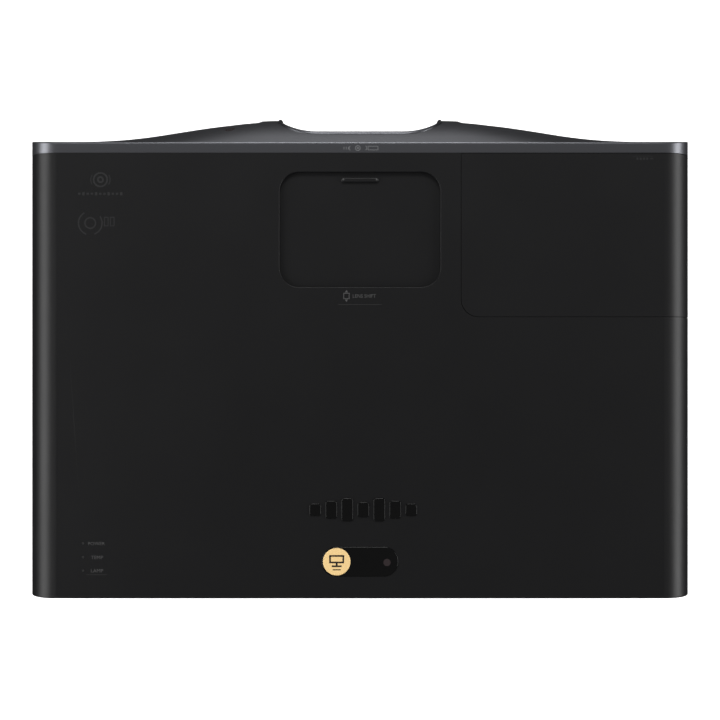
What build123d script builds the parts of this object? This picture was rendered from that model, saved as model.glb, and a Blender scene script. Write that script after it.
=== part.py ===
"""Home cinema projector: a wide, flat case with a swollen front, a centre lens that shifts both ways, a sliding
door over the two lens shift dials, a lamp cover, a keypad on one side and the light engine and boards inside.

Frame: millimetres, +Z up, the front (lens) faces -Y, origin on the table under the middle of the footprint.
"""

from build123d import *
from math import cos, pi
import os

os.makedirs("parts", exist_ok=True)

# ---------------------------------------------------------------- driving dimensions
WIDTH = 493.0  # case, side to side
FOOT_HEIGHT = 8.0  # gap between the table and the case
CASE_HEIGHT = 135.0
BOTTOM = FOOT_HEIGHT
TOP = BOTTOM + CASE_HEIGHT
MID_Z = (BOTTOM + TOP) / 2
SIDE = WIDTH / 2
CORNER = 22.0  # radius of the case's four long edges
WALL = 2.5  # moulded wall
FLOOR = BOTTOM + WALL  # inside of the base pan
CEILING = TOP - WALL  # inside of the top cover
FRONT_EDGE = -154.8  # crisp edge where the flat top meets the swollen front
BAND = 7.7  # depth of the fascia's strip on top
BAND_REAR = FRONT_EDGE + BAND
REAR_EDGE = 181.8
SPLIT = 34.0  # height of the joint between lower tray and cover
GAP = 0.3  # clearance between neighbouring mouldings
RUNNING = 0.06  # radial clearance of a turning fit

SWELL_MIN = 7.0  # how far the front swells at the case's ends
SWELL_MORE = 19.0  # and how much more beside the lens
SWELL_FLAT = 62.0  # half width of the fully swollen middle
SWELL_FADE = 150.0  # distance over which it fades
LENS_MOUTH = (126.0, 115.0)  # rounded square opening around the lens
LENS_MOUTH_R = 31.0

LENS_Z = MID_Z
BARREL_R = 33.0
SHIFT_UP = 3.5  # lens travel each way, up and down
SHIFT_ACROSS = 2.5  # lens travel each way, left and right
LAMP_Y, LAMP_Z = -87.0, 68.0  # the lamp's optical axis, along X


# ---------------------------------------------------------------- shared helpers
def block(x, y, z, mode=Mode.ADD):
    """Box given by its (low, high) on each axis, added to the part being built."""
    with Locations(((x[0] + x[1]) / 2, (y[0] + y[1]) / 2, (z[0] + z[1]) / 2)):
        Box(x[1] - x[0], y[1] - y[0], z[1] - z[0], mode=mode)


def rod(axis, span, at, radius, mode=Mode.ADD):
    """Cylinder along "X", "Y" or "Z" over (low, high), at the other two coordinates in X, Y, Z order."""
    middle = (span[0] + span[1]) / 2
    place, turn = {
        "X": ((middle, at[0], at[1]), (0, 90, 0)),
        "Y": ((at[0], middle, at[1]), (90, 0, 0)),
        "Z": ((at[0], at[1], middle), (0, 0, 0)),
    }[axis]
    with Locations(Location(place, turn)):
        Cylinder(radius, span[1] - span[0], mode=mode)


def across(y):
    """Plane square to Y. It faces the front, its x is X and its y is Z."""
    return Plane.XZ.offset(-y)


def case_bar(front, rear, inset=0.0):
    """Solid bar with the case's rounded outline, moved in by inset, from front to rear."""
    with BuildPart() as bar:
        with BuildSketch(across(rear)):
            with Locations((0, MID_Z)):
                RectangleRounded(WIDTH - 2 * inset, CASE_HEIGHT - 2 * inset, CORNER - inset)
        extrude(amount=rear - front)
    return bar.part


def swell_depth(x):
    """How far the front stands proud of its top edge at mid height: a raised cosine either side of the lens."""
    share = min(max((abs(x) - SWELL_FLAT) / SWELL_FADE, 0.0), 1.0)
    return SWELL_MIN + SWELL_MORE * (1 + cos(pi * share)) / 2


def swell_block(proud):
    """Block whose front face is the swollen surface, moved forward by proud; it overruns the case elsewhere."""
    overrun = 6.0
    half = CASE_HEIGHT / 2
    stations = [-252, -225, -195, -165, -135, -105, -80, -50, 0, 50, 80, 105, 135, 165, 195, 225, 252]
    with BuildPart() as swell:
        for x in stations:
            depth = swell_depth(x)
            radius = (half**2 + depth**2) / (2 * depth)
            reach = (radius**2 - (half + overrun) ** 2) ** 0.5
            edge = FRONT_EDGE - proud - depth + radius - reach
            with BuildSketch(Plane.YZ.offset(x)):
                with BuildLine():
                    ThreePointArc(
                        (edge, TOP + overrun),
                        (FRONT_EDGE - proud - depth, MID_Z),
                        (edge, BOTTOM - overrun),
                    )
                    Polyline(
                        (edge, BOTTOM - overrun),
                        (-100, BOTTOM - overrun),
                        (-100, TOP + overrun),
                        (edge, TOP + overrun),
                    )
                make_face()
        loft()
    return swell.part


def save(part, label):
    """Labels a finished piece and writes its STEP file."""
    part.label = label
    export_step(part, f"parts/{label}.step")


SWELL = swell_block(0.0)
SWELL_INNER = swell_block(-3.0)
SWELL_RIM = swell_block(1.0)
SWELL_SUNK = swell_block(-1.0)
SWELL_DEEP = swell_block(-9.0)
SWELL_FLANGE = swell_block(-4.8)

# ---------------------------------------------------------------- lens shift door and its opening
DOOR_HOLE = (119.0, 85.1)  # opening in the cover
DOOR_HOLE_R = 14.5
DOOR_HOLE_Y = -90.5
DOOR_RIM = 0.4  # rounding of the opening's upper edge
DOOR_TRAVEL = 75.0
DOOR_Z = (TOP - WALL - GAP - 2.0, TOP - WALL - GAP)
DOOR_X = 64.7
DOOR_Y = (-136.7, -43.3)
RAIL_X = 65.0

with BuildPart() as lens_shift_door:
    block((-DOOR_X, DOOR_X), DOOR_Y, DOOR_Z)
    fillet(lens_shift_door.edges().filter_by(Axis.Z), 4)
    with BuildSketch(Plane.XY.offset(DOOR_Z[1])):
        with Locations((0, -127.3)):
            SlotOverall(27.8, 3.2)
    extrude(amount=1.7)
    fillet(lens_shift_door.faces().sort_by(Axis.Z)[-1].edges(), 0.7)
save(lens_shift_door.part, "lens_shift_door")

# ---------------------------------------------------------------- top cover
LAMP_EDGE_X = -74.5  # lamp cover's inner edge
LAMP_EDGE_Y = -26.0  # lamp cover's rear edge
LAMP_EDGE_R = 12.8
LAMP_SPLIT = 70.0  # height at which the lamp cover ends on the side
POSTS = [(215, -130), (215, 60), (215, 165), (-215, 165), (-215, -15)]
POST_R = 4.5
POST_END = 16.2
PILOT_R = 1.55
PANEL_Y = (175.5, 178.5)  # rear panel, set in from the case's rear edge
PANEL_SCREWS_X = 195.0
PANEL_BOSS_R = 5.2
KEYPAD_Y = (154.2, 172.2)
KEYPAD_Z = (40.0, 124.5)
LIGHT_X = 204.4
LIGHTS_Y = (140.9, 151.2, 161.1)
BADGE_Y = 154.5
BADGE_LENGTH, BADGE_WIDTH = 56.8, 22.0
TRAY_POST_X, TRAY_Y = 71.0, -95.0
TRAY_FLOOR = (126.5, 128.5)


def lamp_region(inset):
    """The corner of the case that the lamp cover fills, moved in by inset from the seam."""
    with BuildPart() as region:
        with BuildSketch(Plane.XY.offset(LAMP_SPLIT + inset)):
            with Locations(((LAMP_EDGE_X - 330) / 2 - inset, (LAMP_EDGE_Y + BAND_REAR) / 2)):
                Rectangle(
                    330 + LAMP_EDGE_X,
                    LAMP_EDGE_Y - BAND_REAR - 2 * inset,
                )
        extrude(amount=100)
        inner = region.edges().filter_by(Axis.Z).sort_by(Axis.X)[-2:].sort_by(Axis.Y)[-1]
        fillet(inner, LAMP_EDGE_R)
    return region.part


with BuildPart() as top_cover:
    add(case_bar(BAND_REAR, REAR_EDGE))
    rear_rim = top_cover.faces().sort_by(Axis.Y)[-1].edges()
    fillet(rear_rim, 1.0)
    add(case_bar(BAND_REAR - 1, REAR_EDGE + 1, WALL), mode=Mode.SUBTRACT)
    block((-300, 300), (-200, 200), (0, SPLIT), mode=Mode.SUBTRACT)
    # opening over the lens shift dials, its edge just broken
    with BuildSketch(Plane.XY.offset(TOP)):
        with Locations((0, DOOR_HOLE_Y)):
            RectangleRounded(*DOOR_HOLE, DOOR_HOLE_R)
    extrude(amount=-WALL, mode=Mode.SUBTRACT)
    rim = [
        e
        for e in top_cover.edges().filter_by_position(Axis.Z, TOP - 0.01, TOP + 0.01)
        if abs(e.center().X) < 62 and -140 < e.center().Y < -45
    ]
    fillet(rim, DOOR_RIM)
    # two rails that carry the door under the cover
    for side in (-1, 1):
        wall_x = sorted((side * RAIL_X, side * (RAIL_X + 3)))
        lip_x = sorted((side * 61, side * (RAIL_X + 3)))
        block(wall_x, (-139.5, 34), (136.2, TOP - WALL))
        block(lip_x, (-139.5, 34), (136.2, 137.9))
        rod("Z", (TRAY_FLOOR[1], TOP - WALL), (side * TRAY_POST_X, TRAY_Y), 2.4)
    # corner taken out for the lamp cover
    add(lamp_region(0.0), mode=Mode.SUBTRACT)
    # posts that the case screws bite into
    for x, y in POSTS:
        rod("Z", (POST_END, TOP - WALL), (x, y), POST_R)
        rod("Z", (POST_END - 1, 34), (x, y), PILOT_R, mode=Mode.SUBTRACT)
    for x in (-PANEL_SCREWS_X, PANEL_SCREWS_X):
        rod("Y", (163, PANEL_Y[0]), (x, 135.5), PANEL_BOSS_R)
        rod("Y", (162, 177), (x, 135.5), PILOT_R, mode=Mode.SUBTRACT)
    # keypad window, status light holes and badge pocket
    block((235, 260), KEYPAD_Y, KEYPAD_Z, mode=Mode.SUBTRACT)
    for y in LIGHTS_Y:
        rod("Z", (TOP - 5, TOP + 1), (LIGHT_X, y), 0.8, mode=Mode.SUBTRACT)
    with BuildSketch(Plane.XY.offset(TOP)):
        with Locations((0, BADGE_Y)):
            SlotOverall(BADGE_LENGTH, BADGE_WIDTH)
    extrude(amount=-1.0, mode=Mode.SUBTRACT)
    # air slots: intake on the keypad side, exhaust on the lamp side
    for side, y_from, y_to in ((1, -50, 40), (-1, -6, 86)):
        for row in range(8):
            z = 48 + 7 * row
            block(
                sorted((side * 238, side * 260)),
                (y_from, y_to),
                (z, z + 3),
                mode=Mode.SUBTRACT,
            )
save(top_cover.part, "top_cover")

# ---------------------------------------------------------------- lamp cover and its captive screw
LAMP_SCREW = (-88.0, 82.0)  # Y and Z of the screw on the side

with BuildPart() as lamp_cover:
    add(case_bar(BAND_REAR, LAMP_EDGE_Y))
    add(case_bar(BAND_REAR - 1, LAMP_EDGE_Y + 1, WALL), mode=Mode.SUBTRACT)
    add(lamp_region(GAP), mode=Mode.INTERSECT)
    rod("X", (-SIDE + WALL - 0.5, -SIDE + WALL + 4), LAMP_SCREW, 6.5)
    rod("X", (-SIDE - 1, -SIDE + 2.6), LAMP_SCREW, 4.4, mode=Mode.SUBTRACT)
    rod("X", (-SIDE - 1, -SIDE + 10), LAMP_SCREW, 2.1, mode=Mode.SUBTRACT)
save(lamp_cover.part, "lamp_cover")

with BuildPart() as lamp_cover_screw:
    rod("X", (-SIDE + 0.4, -SIDE + 2.5), LAMP_SCREW, 4.1)
    rod("X", (-SIDE + 2.5, -SIDE + 15.5), LAMP_SCREW, 2.0)
    block((-SIDE, -SIDE + 1.4), (-88 - 3, -88 + 3), (82 - 0.5, 82 + 0.5), mode=Mode.SUBTRACT)
    block((-SIDE, -SIDE + 1.4), (-88 - 0.5, -88 + 0.5), (82 - 3, 82 + 3), mode=Mode.SUBTRACT)
save(lamp_cover_screw.part, "lamp_cover_screw")

# ---------------------------------------------------------------- base pan
FRONT_FEET = [(195, -115), (-195, -115)]
REAR_FEET = [(190, 140), (-190, 140)]
MOUNT_X, MOUNT_Y = 125.0, 80.0  # half spacings of the four ceiling mount holes
MOUNT_CENTRE_Y = 10.0
MOUNT_R = 2.0
FRAME_Y = (-90.0, -86.0)  # upright plate that carries the lens shift guides
BOARD_Z = 40.0  # underside of the main board
BOARD_POSTS = [(-8, 77), (198, 77), (198, 160), (-8, 164)]
SUPPLY_Z = 24.0
SUPPLY_POSTS = [(-198, 92), (-42, 92), (-42, 150), (-172, 150)]
BALLAST_POSTS = [(80, -130), (172, -130), (172, -62), (80, -62)]

with BuildPart() as base_pan:
    add(case_bar(BAND_REAR, REAR_EDGE))
    rear_rim = base_pan.faces().sort_by(Axis.Y)[-1].edges()
    fillet(rear_rim, 1.0)
    add(case_bar(BAND_REAR - 1, REAR_EDGE + 1, WALL), mode=Mode.SUBTRACT)
    block((-300, 300), (-200, 200), (SPLIT, 200), mode=Mode.SUBTRACT)
    for x, y in POSTS:
        rod("Z", (FLOOR - 1, 16), (x, y), 6.5)
        rod("Z", (BOTTOM - 1, 11), (x, y), 3.7, mode=Mode.SUBTRACT)
        rod("Z", (BOTTOM - 1, 17), (x, y), 1.7, mode=Mode.SUBTRACT)
    for x, y in FRONT_FEET:
        rod("Z", (FLOOR - 1, 32), (x, y), 8)
        rod("Z", (BOTTOM - 1, 33), (x, y), 4 + RUNNING, mode=Mode.SUBTRACT)
    for x, y in REAR_FEET:
        rod("Z", (BOTTOM - 1, FLOOR + 1), (x, y), 3, mode=Mode.SUBTRACT)
    for x in (-MOUNT_X, MOUNT_X):
        for y in (MOUNT_CENTRE_Y - MOUNT_Y, MOUNT_CENTRE_Y + MOUNT_Y):
            rod("Z", (FLOOR - 1, 20), (x, y), 6)
            rod("Z", (BOTTOM - 1, 18), (x, y), MOUNT_R, mode=Mode.SUBTRACT)
    for x, y in BOARD_POSTS:
        rod("Z", (FLOOR - 1, BOARD_Z), (x, y), 3.5)
    for x, y in SUPPLY_POSTS + BALLAST_POSTS:
        rod("Z", (FLOOR - 1, SUPPLY_Z), (x, y), 3.5)
    # plinths under the two fans, and under the lens shift frame
    block((217, 228), (-38, 28), (FLOOR - 1, 28))
    block((-228, -217), (4, 76), (FLOOR - 1, 28))
    block((-57, 57), (FRAME_Y[0], FRAME_Y[1]), (FLOOR - 1, LENS_Z - 45))
    for x in (-PANEL_SCREWS_X, PANEL_SCREWS_X):
        rod("Y", (163, PANEL_Y[0]), (x, 15.5), PANEL_BOSS_R)
        rod("Y", (162, 177), (x, 15.5), PILOT_R, mode=Mode.SUBTRACT)
    # air slots in the floor
    for x_from in (-70, 20):
        for row in range(10):
            y = -20 + 7 * row
            block((x_from, x_from + 60), (y, y + 3), (0, FLOOR + 1), mode=Mode.SUBTRACT)
    # bracket that the lamp cover's screw reaches
    block((-236, -231.5), (-96, -80), (FLOOR + 2, 89))
    rod("X", (-240, -225), LAMP_SCREW, 2.06, mode=Mode.SUBTRACT)
save(base_pan.part, "base_pan")

# ---------------------------------------------------------------- fascia, lens bezel and louvres
VENT_INNER, VENT_OUTER = 76.0, 231.0


def vent_bar(side, inset):
    """Bar along Y with the outline of one side vent, tall beside the lens and lower at the end of the case."""
    corners = [
        (VENT_INNER + inset, 41 + inset),
        (VENT_INNER + inset, 110 - inset),
        (VENT_OUTER - inset, 99 - inset),
        (VENT_OUTER - inset, 52 + inset),
    ]
    with BuildPart() as bar:
        with BuildSketch(across(-135)) as outline:
            with BuildLine():
                Polyline(*[(side * x, z) for x, z in corners], close=True)
            make_face()
            fillet(outline.vertices(), 10 - inset)
        extrude(amount=65)
    return bar.part


FRONT_LIMIT = -200.0
IR_X, IR_Z = 98.0, 122.0

with BuildPart() as front_fascia:
    add(case_bar(FRONT_LIMIT, BAND_REAR - 0.15))
    add(SWELL, mode=Mode.INTERSECT)
    hollow = case_bar(FRONT_LIMIT, BAND_REAR + 5, WALL) & SWELL_INNER
    add(hollow, mode=Mode.SUBTRACT)
    with BuildSketch(across(-140)):
        with Locations((0, LENS_Z)):
            RectangleRounded(*LENS_MOUTH, LENS_MOUTH_R)
    extrude(amount=60, mode=Mode.SUBTRACT)
    for side in (-1, 1):
        add(vent_bar(side, 0.0), mode=Mode.SUBTRACT)
    rod("Y", (FRONT_LIMIT, -140), (IR_X, IR_Z), 3.6, mode=Mode.SUBTRACT)
    # tongues that locate the fascia inside the cover and the base pan
    for x, root_z, tongue_z in (
        (-205, (FLOOR - 0.5, FLOOR + 2.2), (FLOOR + 0.2, FLOOR + 2.2)),
        (-100, (FLOOR - 0.5, FLOOR + 2.2), (FLOOR + 0.2, FLOOR + 2.2)),
        (100, (FLOOR - 0.5, FLOOR + 2.2), (FLOOR + 0.2, FLOOR + 2.2)),
        (205, (FLOOR - 0.5, FLOOR + 2.2), (FLOOR + 0.2, FLOOR + 2.2)),
        (100, (CEILING - 2.2, CEILING + 0.5), (CEILING - 2.2, CEILING - 0.2)),
        (205, (CEILING - 2.2, CEILING + 0.5), (CEILING - 2.2, CEILING - 0.2)),
    ):
        block((x - 8, x + 8), (BAND_REAR - 6, BAND_REAR - 0.2), root_z)
        block((x - 8, x + 8), (BAND_REAR - 6, BAND_REAR + 8), tongue_z)
save(front_fascia.part, "front_fascia")

FUNNEL_BACK = -131.5
FUNNEL_FRONT = -158.5
with BuildPart() as lens_bezel:
    for size, corner, mode in (
        ((LENS_MOUTH[0] - 0.4, LENS_MOUTH[1] - 0.4), LENS_MOUTH_R - 0.2, Mode.ADD),
        ((LENS_MOUTH[0] - 6, LENS_MOUTH[1] - 6), LENS_MOUTH_R - 3, Mode.SUBTRACT),
    ):
        with BuildSketch(across(FUNNEL_FRONT)):
            with Locations((0, LENS_Z)):
                RectangleRounded(*size, corner)
        extrude(amount=40, mode=mode)
    add(SWELL_RIM, mode=Mode.INTERSECT)
    for size, corner, back, mode in (
        ((LENS_MOUTH[0] - 0.4, LENS_MOUTH[1] - 0.4), LENS_MOUTH_R - 0.2, 49.0, Mode.ADD),
        ((LENS_MOUTH[0] - 6, LENS_MOUTH[1] - 6), LENS_MOUTH_R - 3, 46.0, Mode.SUBTRACT),
    ):
        with BuildSketch(across(FUNNEL_FRONT)) as front_outline:
            with Locations((0, LENS_Z)):
                RectangleRounded(*size, corner)
        with BuildSketch(across(FUNNEL_BACK)) as back_outline:
            with Locations((0, LENS_Z)):
                RectangleRounded(2 * back, 2 * back, back - 0.1)
        loft(mode=mode)
save(lens_bezel.part, "lens_bezel")


def louvre(side):
    """One side vent's insert: a frame, eight slats and two uprights, cut to follow the swollen front."""
    with BuildPart() as insert:
        add(vent_bar(side, GAP))
        add(vent_bar(side, 2.4), mode=Mode.SUBTRACT)
        outline = vent_bar(side, 1.2)
        with BuildPart(mode=Mode.PRIVATE) as slats:
            for row in range(8):
                z = 47.5 + 8 * row - 1.0
                block((-SIDE, SIDE), (FRONT_LIMIT, -140), (z, z + 2.2))
            for x in (125, 178):
                block(sorted((side * x, side * (x + 2.0))), (FRONT_LIMIT, -140), (BOTTOM, TOP))
            add(outline, mode=Mode.INTERSECT)
        add(slats.part)
        add(SWELL_SUNK, mode=Mode.INTERSECT)
        add(SWELL_DEEP, mode=Mode.SUBTRACT)
        with BuildPart(mode=Mode.PRIVATE) as flange:
            add(vent_bar(side, -2.5))
            add(vent_bar(side, 2.4), mode=Mode.SUBTRACT)
            add(SWELL_INNER, mode=Mode.INTERSECT)
            add(SWELL_FLANGE, mode=Mode.SUBTRACT)
        add(flange.part)
    return insert.part


save(louvre(1), "front_louvre_left")
save(louvre(-1), "front_louvre_right")

# ---------------------------------------------------------------- rear panel
SOCKET_Z = BOARD_Z + 1.6  # top of the main board
HDMI = [(190, 15.0, 6.2), (167, 15.0, 6.2)]  # X, width, height
USB = [(143, 14.0, 7.0), (122, 14.0, 7.0)]
LAN = [(98, 16.0, 13.5)]
SERIAL = [(66, 31.0, 12.5)]
JACKS = [(39, 10.0, 10.0), (25, 10.0, 10.0), (11, 10.0, 10.0)]
INLET = (-195.0, 48.0)
INLET_SIZE = (27.5, 20.0)

with BuildPart() as rear_panel:
    add(case_bar(*PANEL_Y, WALL + GAP))
    for x, width, height in HDMI + USB + LAN + SERIAL + JACKS:
        block(
            (x - width / 2 - GAP, x + width / 2 + GAP),
            (170, 185),
            (SOCKET_Z - GAP, SOCKET_Z + height + GAP),
            mode=Mode.SUBTRACT,
        )
    block(
        (INLET[0] - INLET_SIZE[0] / 2 - GAP, INLET[0] + INLET_SIZE[0] / 2 + GAP),
        (170, 185),
        (INLET[1] - INLET_SIZE[1] / 2 - GAP, INLET[1] + INLET_SIZE[1] / 2 + GAP),
        mode=Mode.SUBTRACT,
    )
    for x in (-PANEL_SCREWS_X, PANEL_SCREWS_X):
        for z in (15.5, 135.5):
            rod("Y", (170, 185), (x, z), 1.7, mode=Mode.SUBTRACT)
    # exhaust slots over the power supply, and the slot for a security lock
    for column in range(18):
        x = -158 + 7 * column
        block((x, x + 3.2), (170, 185), (62, 118), mode=Mode.SUBTRACT)
    block((224, 231), (170, 185), (58, 61), mode=Mode.SUBTRACT)
save(rear_panel.part, "rear_panel")

# ---------------------------------------------------------------- main board and sockets
with BuildPart() as main_board:
    block((-15, 205), (70, 172.5), (BOARD_Z, SOCKET_Z))
    for x, y, w, d, h in (
        (60, 115, 34, 34, 4),
        (110, 105, 22, 22, 2.5),
        (150, 110, 14, 20, 1.6),
        (150, 135, 14, 20, 1.6),
        (15, 105, 26, 12, 12),
    ):
        block((x - w / 2, x + w / 2), (y - d / 2, y + d / 2), (SOCKET_Z, SOCKET_Z + h))
    for fin in range(8):
        x = 44 + 4.4 * fin
        block((x, x + 1.2), (98, 132), (SOCKET_Z + 4, SOCKET_Z + 18))
    for x, y in ((180, 90), (168, 90), (90, 85), (78, 85)):
        rod("Z", (SOCKET_Z, SOCKET_Z + 12), (x, y), 4)
save(main_board.part, "main_board")

SOCKET_FACE = 178.1


def sockets(places, label, depth, cavity, tongue):
    """Box connectors standing on the board, each open to the rear with a contact tongue inside."""
    with BuildPart() as group:
        for x, width, height in places:
            low = SOCKET_Z
            block((x - width / 2, x + width / 2), (SOCKET_FACE - depth, SOCKET_FACE), (low, low + height))
            block(
                (x - width / 2 + cavity, x + width / 2 - cavity),
                (SOCKET_FACE - depth + 3, SOCKET_FACE + 1),
                (low + cavity, low + height - cavity),
                mode=Mode.SUBTRACT,
            )
            if tongue:
                middle = low + height / 2
                block(
                    (x - width / 2 + 2.5, x + width / 2 - 2.5),
                    (SOCKET_FACE - depth + 2.5, SOCKET_FACE - 2),
                    (middle - 0.6, middle + 0.6),
                )
    save(group.part, label)


sockets(HDMI, "hdmi_sockets", 12, 0.7, True)
sockets(USB, "usb_sockets", 14, 0.7, True)
sockets(LAN, "lan_socket", 18, 1.2, False)

with BuildPart() as serial_socket:
    x, width, height = SERIAL[0]
    block((x - width / 2, x + width / 2), (163, 176.7), (SOCKET_Z, SOCKET_Z + height))
    with BuildSketch(across(176.7)):
        with Locations((x, SOCKET_Z + height / 2)):
            Trapezoid(17.5, 8.6, 80, rotation=180)
            with Locations((-12.4, 0), (12.4, 0)):
                RegularPolygon(2.6, 6)
    extrude(amount=-3.4)
    with BuildSketch(across(180.1)):
        with Locations((x, SOCKET_Z + height / 2)):
            Trapezoid(16.1, 7.2, 80, rotation=180)
            with Locations((-12.4, 0), (12.4, 0)):
                Circle(1.5)
    extrude(amount=3.0, mode=Mode.SUBTRACT)
    with BuildSketch(across(177.1)):
        with Locations((x, SOCKET_Z + height / 2 + 1.4)):
            with GridLocations(2.7, 1, 5, 1):
                Circle(0.5)
        with Locations((x, SOCKET_Z + height / 2 - 1.4)):
            with GridLocations(2.7, 1, 4, 1):
                Circle(0.5)
    extrude(amount=2.0)
save(serial_socket.part, "serial_socket")

with BuildPart() as audio_jacks:
    for x, width, height in JACKS:
        block((x - width / 2, x + width / 2), (163, 177.5), (SOCKET_Z, SOCKET_Z + height))
        rod("Y", (177.0, 180.2), (x, SOCKET_Z + 5), 3.9)
        rod("Y", (166, 181), (x, SOCKET_Z + 5), 1.8, mode=Mode.SUBTRACT)
save(audio_jacks.part, "audio_jacks")

with BuildPart() as ac_inlet:
    x, z = INLET
    w, h = INLET_SIZE
    block((x - w / 2, x + w / 2), (158.5, PANEL_Y[1]), (z - h / 2, z + h / 2))
    block((x - 15.5, x + 15.5), (PANEL_Y[1], PANEL_Y[1] + 2), (z - 12.5, z + 12.5))
    with BuildSketch(across(PANEL_Y[1] + 2)) as shroud:
        with Locations((x, z)):
            Rectangle(24.2, 16.4)
        chamfer(shroud.vertices().group_by(Axis.Z)[-1], 4)
    extrude(amount=18, mode=Mode.SUBTRACT)
    for dx, dz in ((-7, -1.5), (0, 2.5), (7, -1.5)):
        block((x + dx - 1, x + dx + 1), (162, PANEL_Y[1] - 1), (z + dz - 2, z + dz + 2))
save(ac_inlet.part, "ac_inlet")

# ---------------------------------------------------------------- power supply and lamp ballast
top = SUPPLY_Z + 1.6
with BuildPart() as power_supply:
    block((-205, -35), (85, 156), (SUPPLY_Z, SUPPLY_Z + 1.6))
    block((-112, -76), (108, 140), (top, top + 26))
    block((-108, -80), (112, 136), (top + 26, top + 30))
    for x in (-185, -160):
        rod("Z", (top, top + 34), (x, 122), 11)
    for y in (97, 145):
        block((-150, -120), (y, y + 3), (top, top + 30))
    block((-66, -46), (100, 140), (top, top + 16))
save(power_supply.part, "power_supply")

with BuildPart() as lamp_ballast:
    block((70, 182), (-138, -54), (SUPPLY_Z, SUPPLY_Z + 1.6))
    block((84, 116), (-120, -92), (top, top + 24))
    rod("Z", (top, top + 28), (142, -108), 11)
    block((126, 170), (-84, -80), (top, top + 30))
    block((88, 104), (-84, -68), (top, top + 14))
save(lamp_ballast.part, "lamp_ballast")

# ---------------------------------------------------------------- keypad
KEY_Y = (KEYPAD_Y[0] + KEYPAD_Y[1]) / 2
KEY_FACE = SIDE - 1.6  # outer face of the keypad bezel
KEY_TRAVEL = 0.8
# name: (offset in Y, height, size in Y, size in Z)
KEYS = {
    "power_button": (0, 112.0, 10.0, 10.0),
    "up_button": (0, 90.5, 7.0, 3.4),
    "left_button": (-6.4, 82.5, 3.0, 7.0),
    "ok_button": (0, 82.5, 6.6, 6.6),
    "right_button": (6.4, 82.5, 3.0, 7.0),
    "down_button": (0, 74.5, 7.0, 3.4),
    "menu_button": (0, 54.0, 10.0, 6.0),
}


def key_corner(size_y, size_z):
    """Corner radius of a key: full round, less a sliver so that its flats remain."""
    return min(size_y, size_z) / 2 - 0.05


with BuildPart() as keypad_bezel:
    block((KEY_FACE - 3.0, SIDE - WALL), (KEYPAD_Y[0] - 3, KEYPAD_Y[1] + 3), (37, 120.5))
    block(
        (KEY_FACE - 3.0, KEY_FACE),
        (KEYPAD_Y[0] + GAP, KEYPAD_Y[1] - GAP),
        (KEYPAD_Z[0] + GAP, KEYPAD_Z[1] - GAP),
    )
    with BuildSketch(Plane.YZ.offset(KEY_FACE)):
        for dy, z, size_y, size_z in KEYS.values():
            with Locations((KEY_Y + dy, z)):
                RectangleRounded(size_y + 0.5, size_z + 0.5, key_corner(size_y, size_z) + 0.25)
    extrude(amount=-4, mode=Mode.SUBTRACT)
save(keypad_bezel.part, "keypad_bezel")

for name, (dy, z, size_y, size_z) in KEYS.items():
    with BuildPart() as button:
        with BuildSketch(Plane.YZ.offset(KEY_FACE - 3.4)):
            with Locations((KEY_Y + dy, z)):
                RectangleRounded(size_y, size_z, key_corner(size_y, size_z))
        extrude(amount=4.4)
        fillet(button.faces().sort_by(Axis.X)[-1].edges(), 0.4)
        block(
            (KEY_FACE - 4.6, KEY_FACE - 3.2),
            (KEY_Y + dy - size_y / 2 - 0.3, KEY_Y + dy + size_y / 2 + 0.3),
            (z - size_z / 2 - 0.5, z + size_z / 2 + 0.5),
        )
        rod("X", (KEY_FACE - 6.2, KEY_FACE - 4.6), (KEY_Y + dy, z), 1.2)
    save(button.part, name)

with BuildPart() as keypad_board:
    block((KEY_FACE - 8.8, KEY_FACE - 7.2), (KEYPAD_Y[0] - 2, KEYPAD_Y[1] + 2), (38, 119))
    for z in (42, 116):
        for y in (KEYPAD_Y[0], KEYPAD_Y[1]):
            rod("X", (KEY_FACE - 7.2, KEY_FACE - 3.0), (y, z), 1.5)
save(keypad_board.part, "keypad_board")

# ---------------------------------------------------------------- status lights, badge and remote windows
with BuildPart() as status_lights:
    for y in LIGHTS_Y:
        rod("Z", (131, TOP + 0.1), (LIGHT_X, y), 0.72)
        rod("Z", (137.8, TOP - WALL), (LIGHT_X, y), 1.6)
save(status_lights.part, "status_lights")

DISC_X, DISC_R = 17.2, 10.1
EYE_X, EYE_R = -19.9, 2.7
with BuildPart() as badge_plate:
    with BuildSketch(Plane.XY.offset(TOP - 1.0)):
        with Locations((0, BADGE_Y)):
            SlotOverall(BADGE_LENGTH - 0.3, BADGE_WIDTH - 0.3)
    extrude(amount=1.5)
    fillet(badge_plate.faces().sort_by(Axis.Z)[-1].edges(), 0.4)
    rod("Z", (TOP - 0.3, TOP + 2), (DISC_X, BADGE_Y), DISC_R + 0.1, mode=Mode.SUBTRACT)
    rod("Z", (TOP - 2, TOP + 2), (EYE_X, BADGE_Y + 0.6), EYE_R + 0.05, mode=Mode.SUBTRACT)
save(badge_plate.part, "badge_plate")

with BuildPart() as badge_disc:
    rod("Z", (TOP - 0.3, TOP + 0.9), (DISC_X, BADGE_Y), DISC_R)
    fillet(badge_disc.faces().sort_by(Axis.Z)[-1].edges(), 0.4)
save(badge_disc.part, "badge_disc")

with BuildPart() as remote_windows:
    rod("Z", (TOP - 1.0, TOP + 0.4), (EYE_X, BADGE_Y + 0.6), EYE_R)
    with BuildPart(mode=Mode.PRIVATE) as front_eye:
        rod("Y", (FRONT_LIMIT, -140), (IR_X, IR_Z), 3.5)
        add(SWELL, mode=Mode.INTERSECT)
        add(swell_block(-4.5), mode=Mode.SUBTRACT)
    add(front_eye.part)
save(remote_windows.part, "remote_windows")

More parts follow.
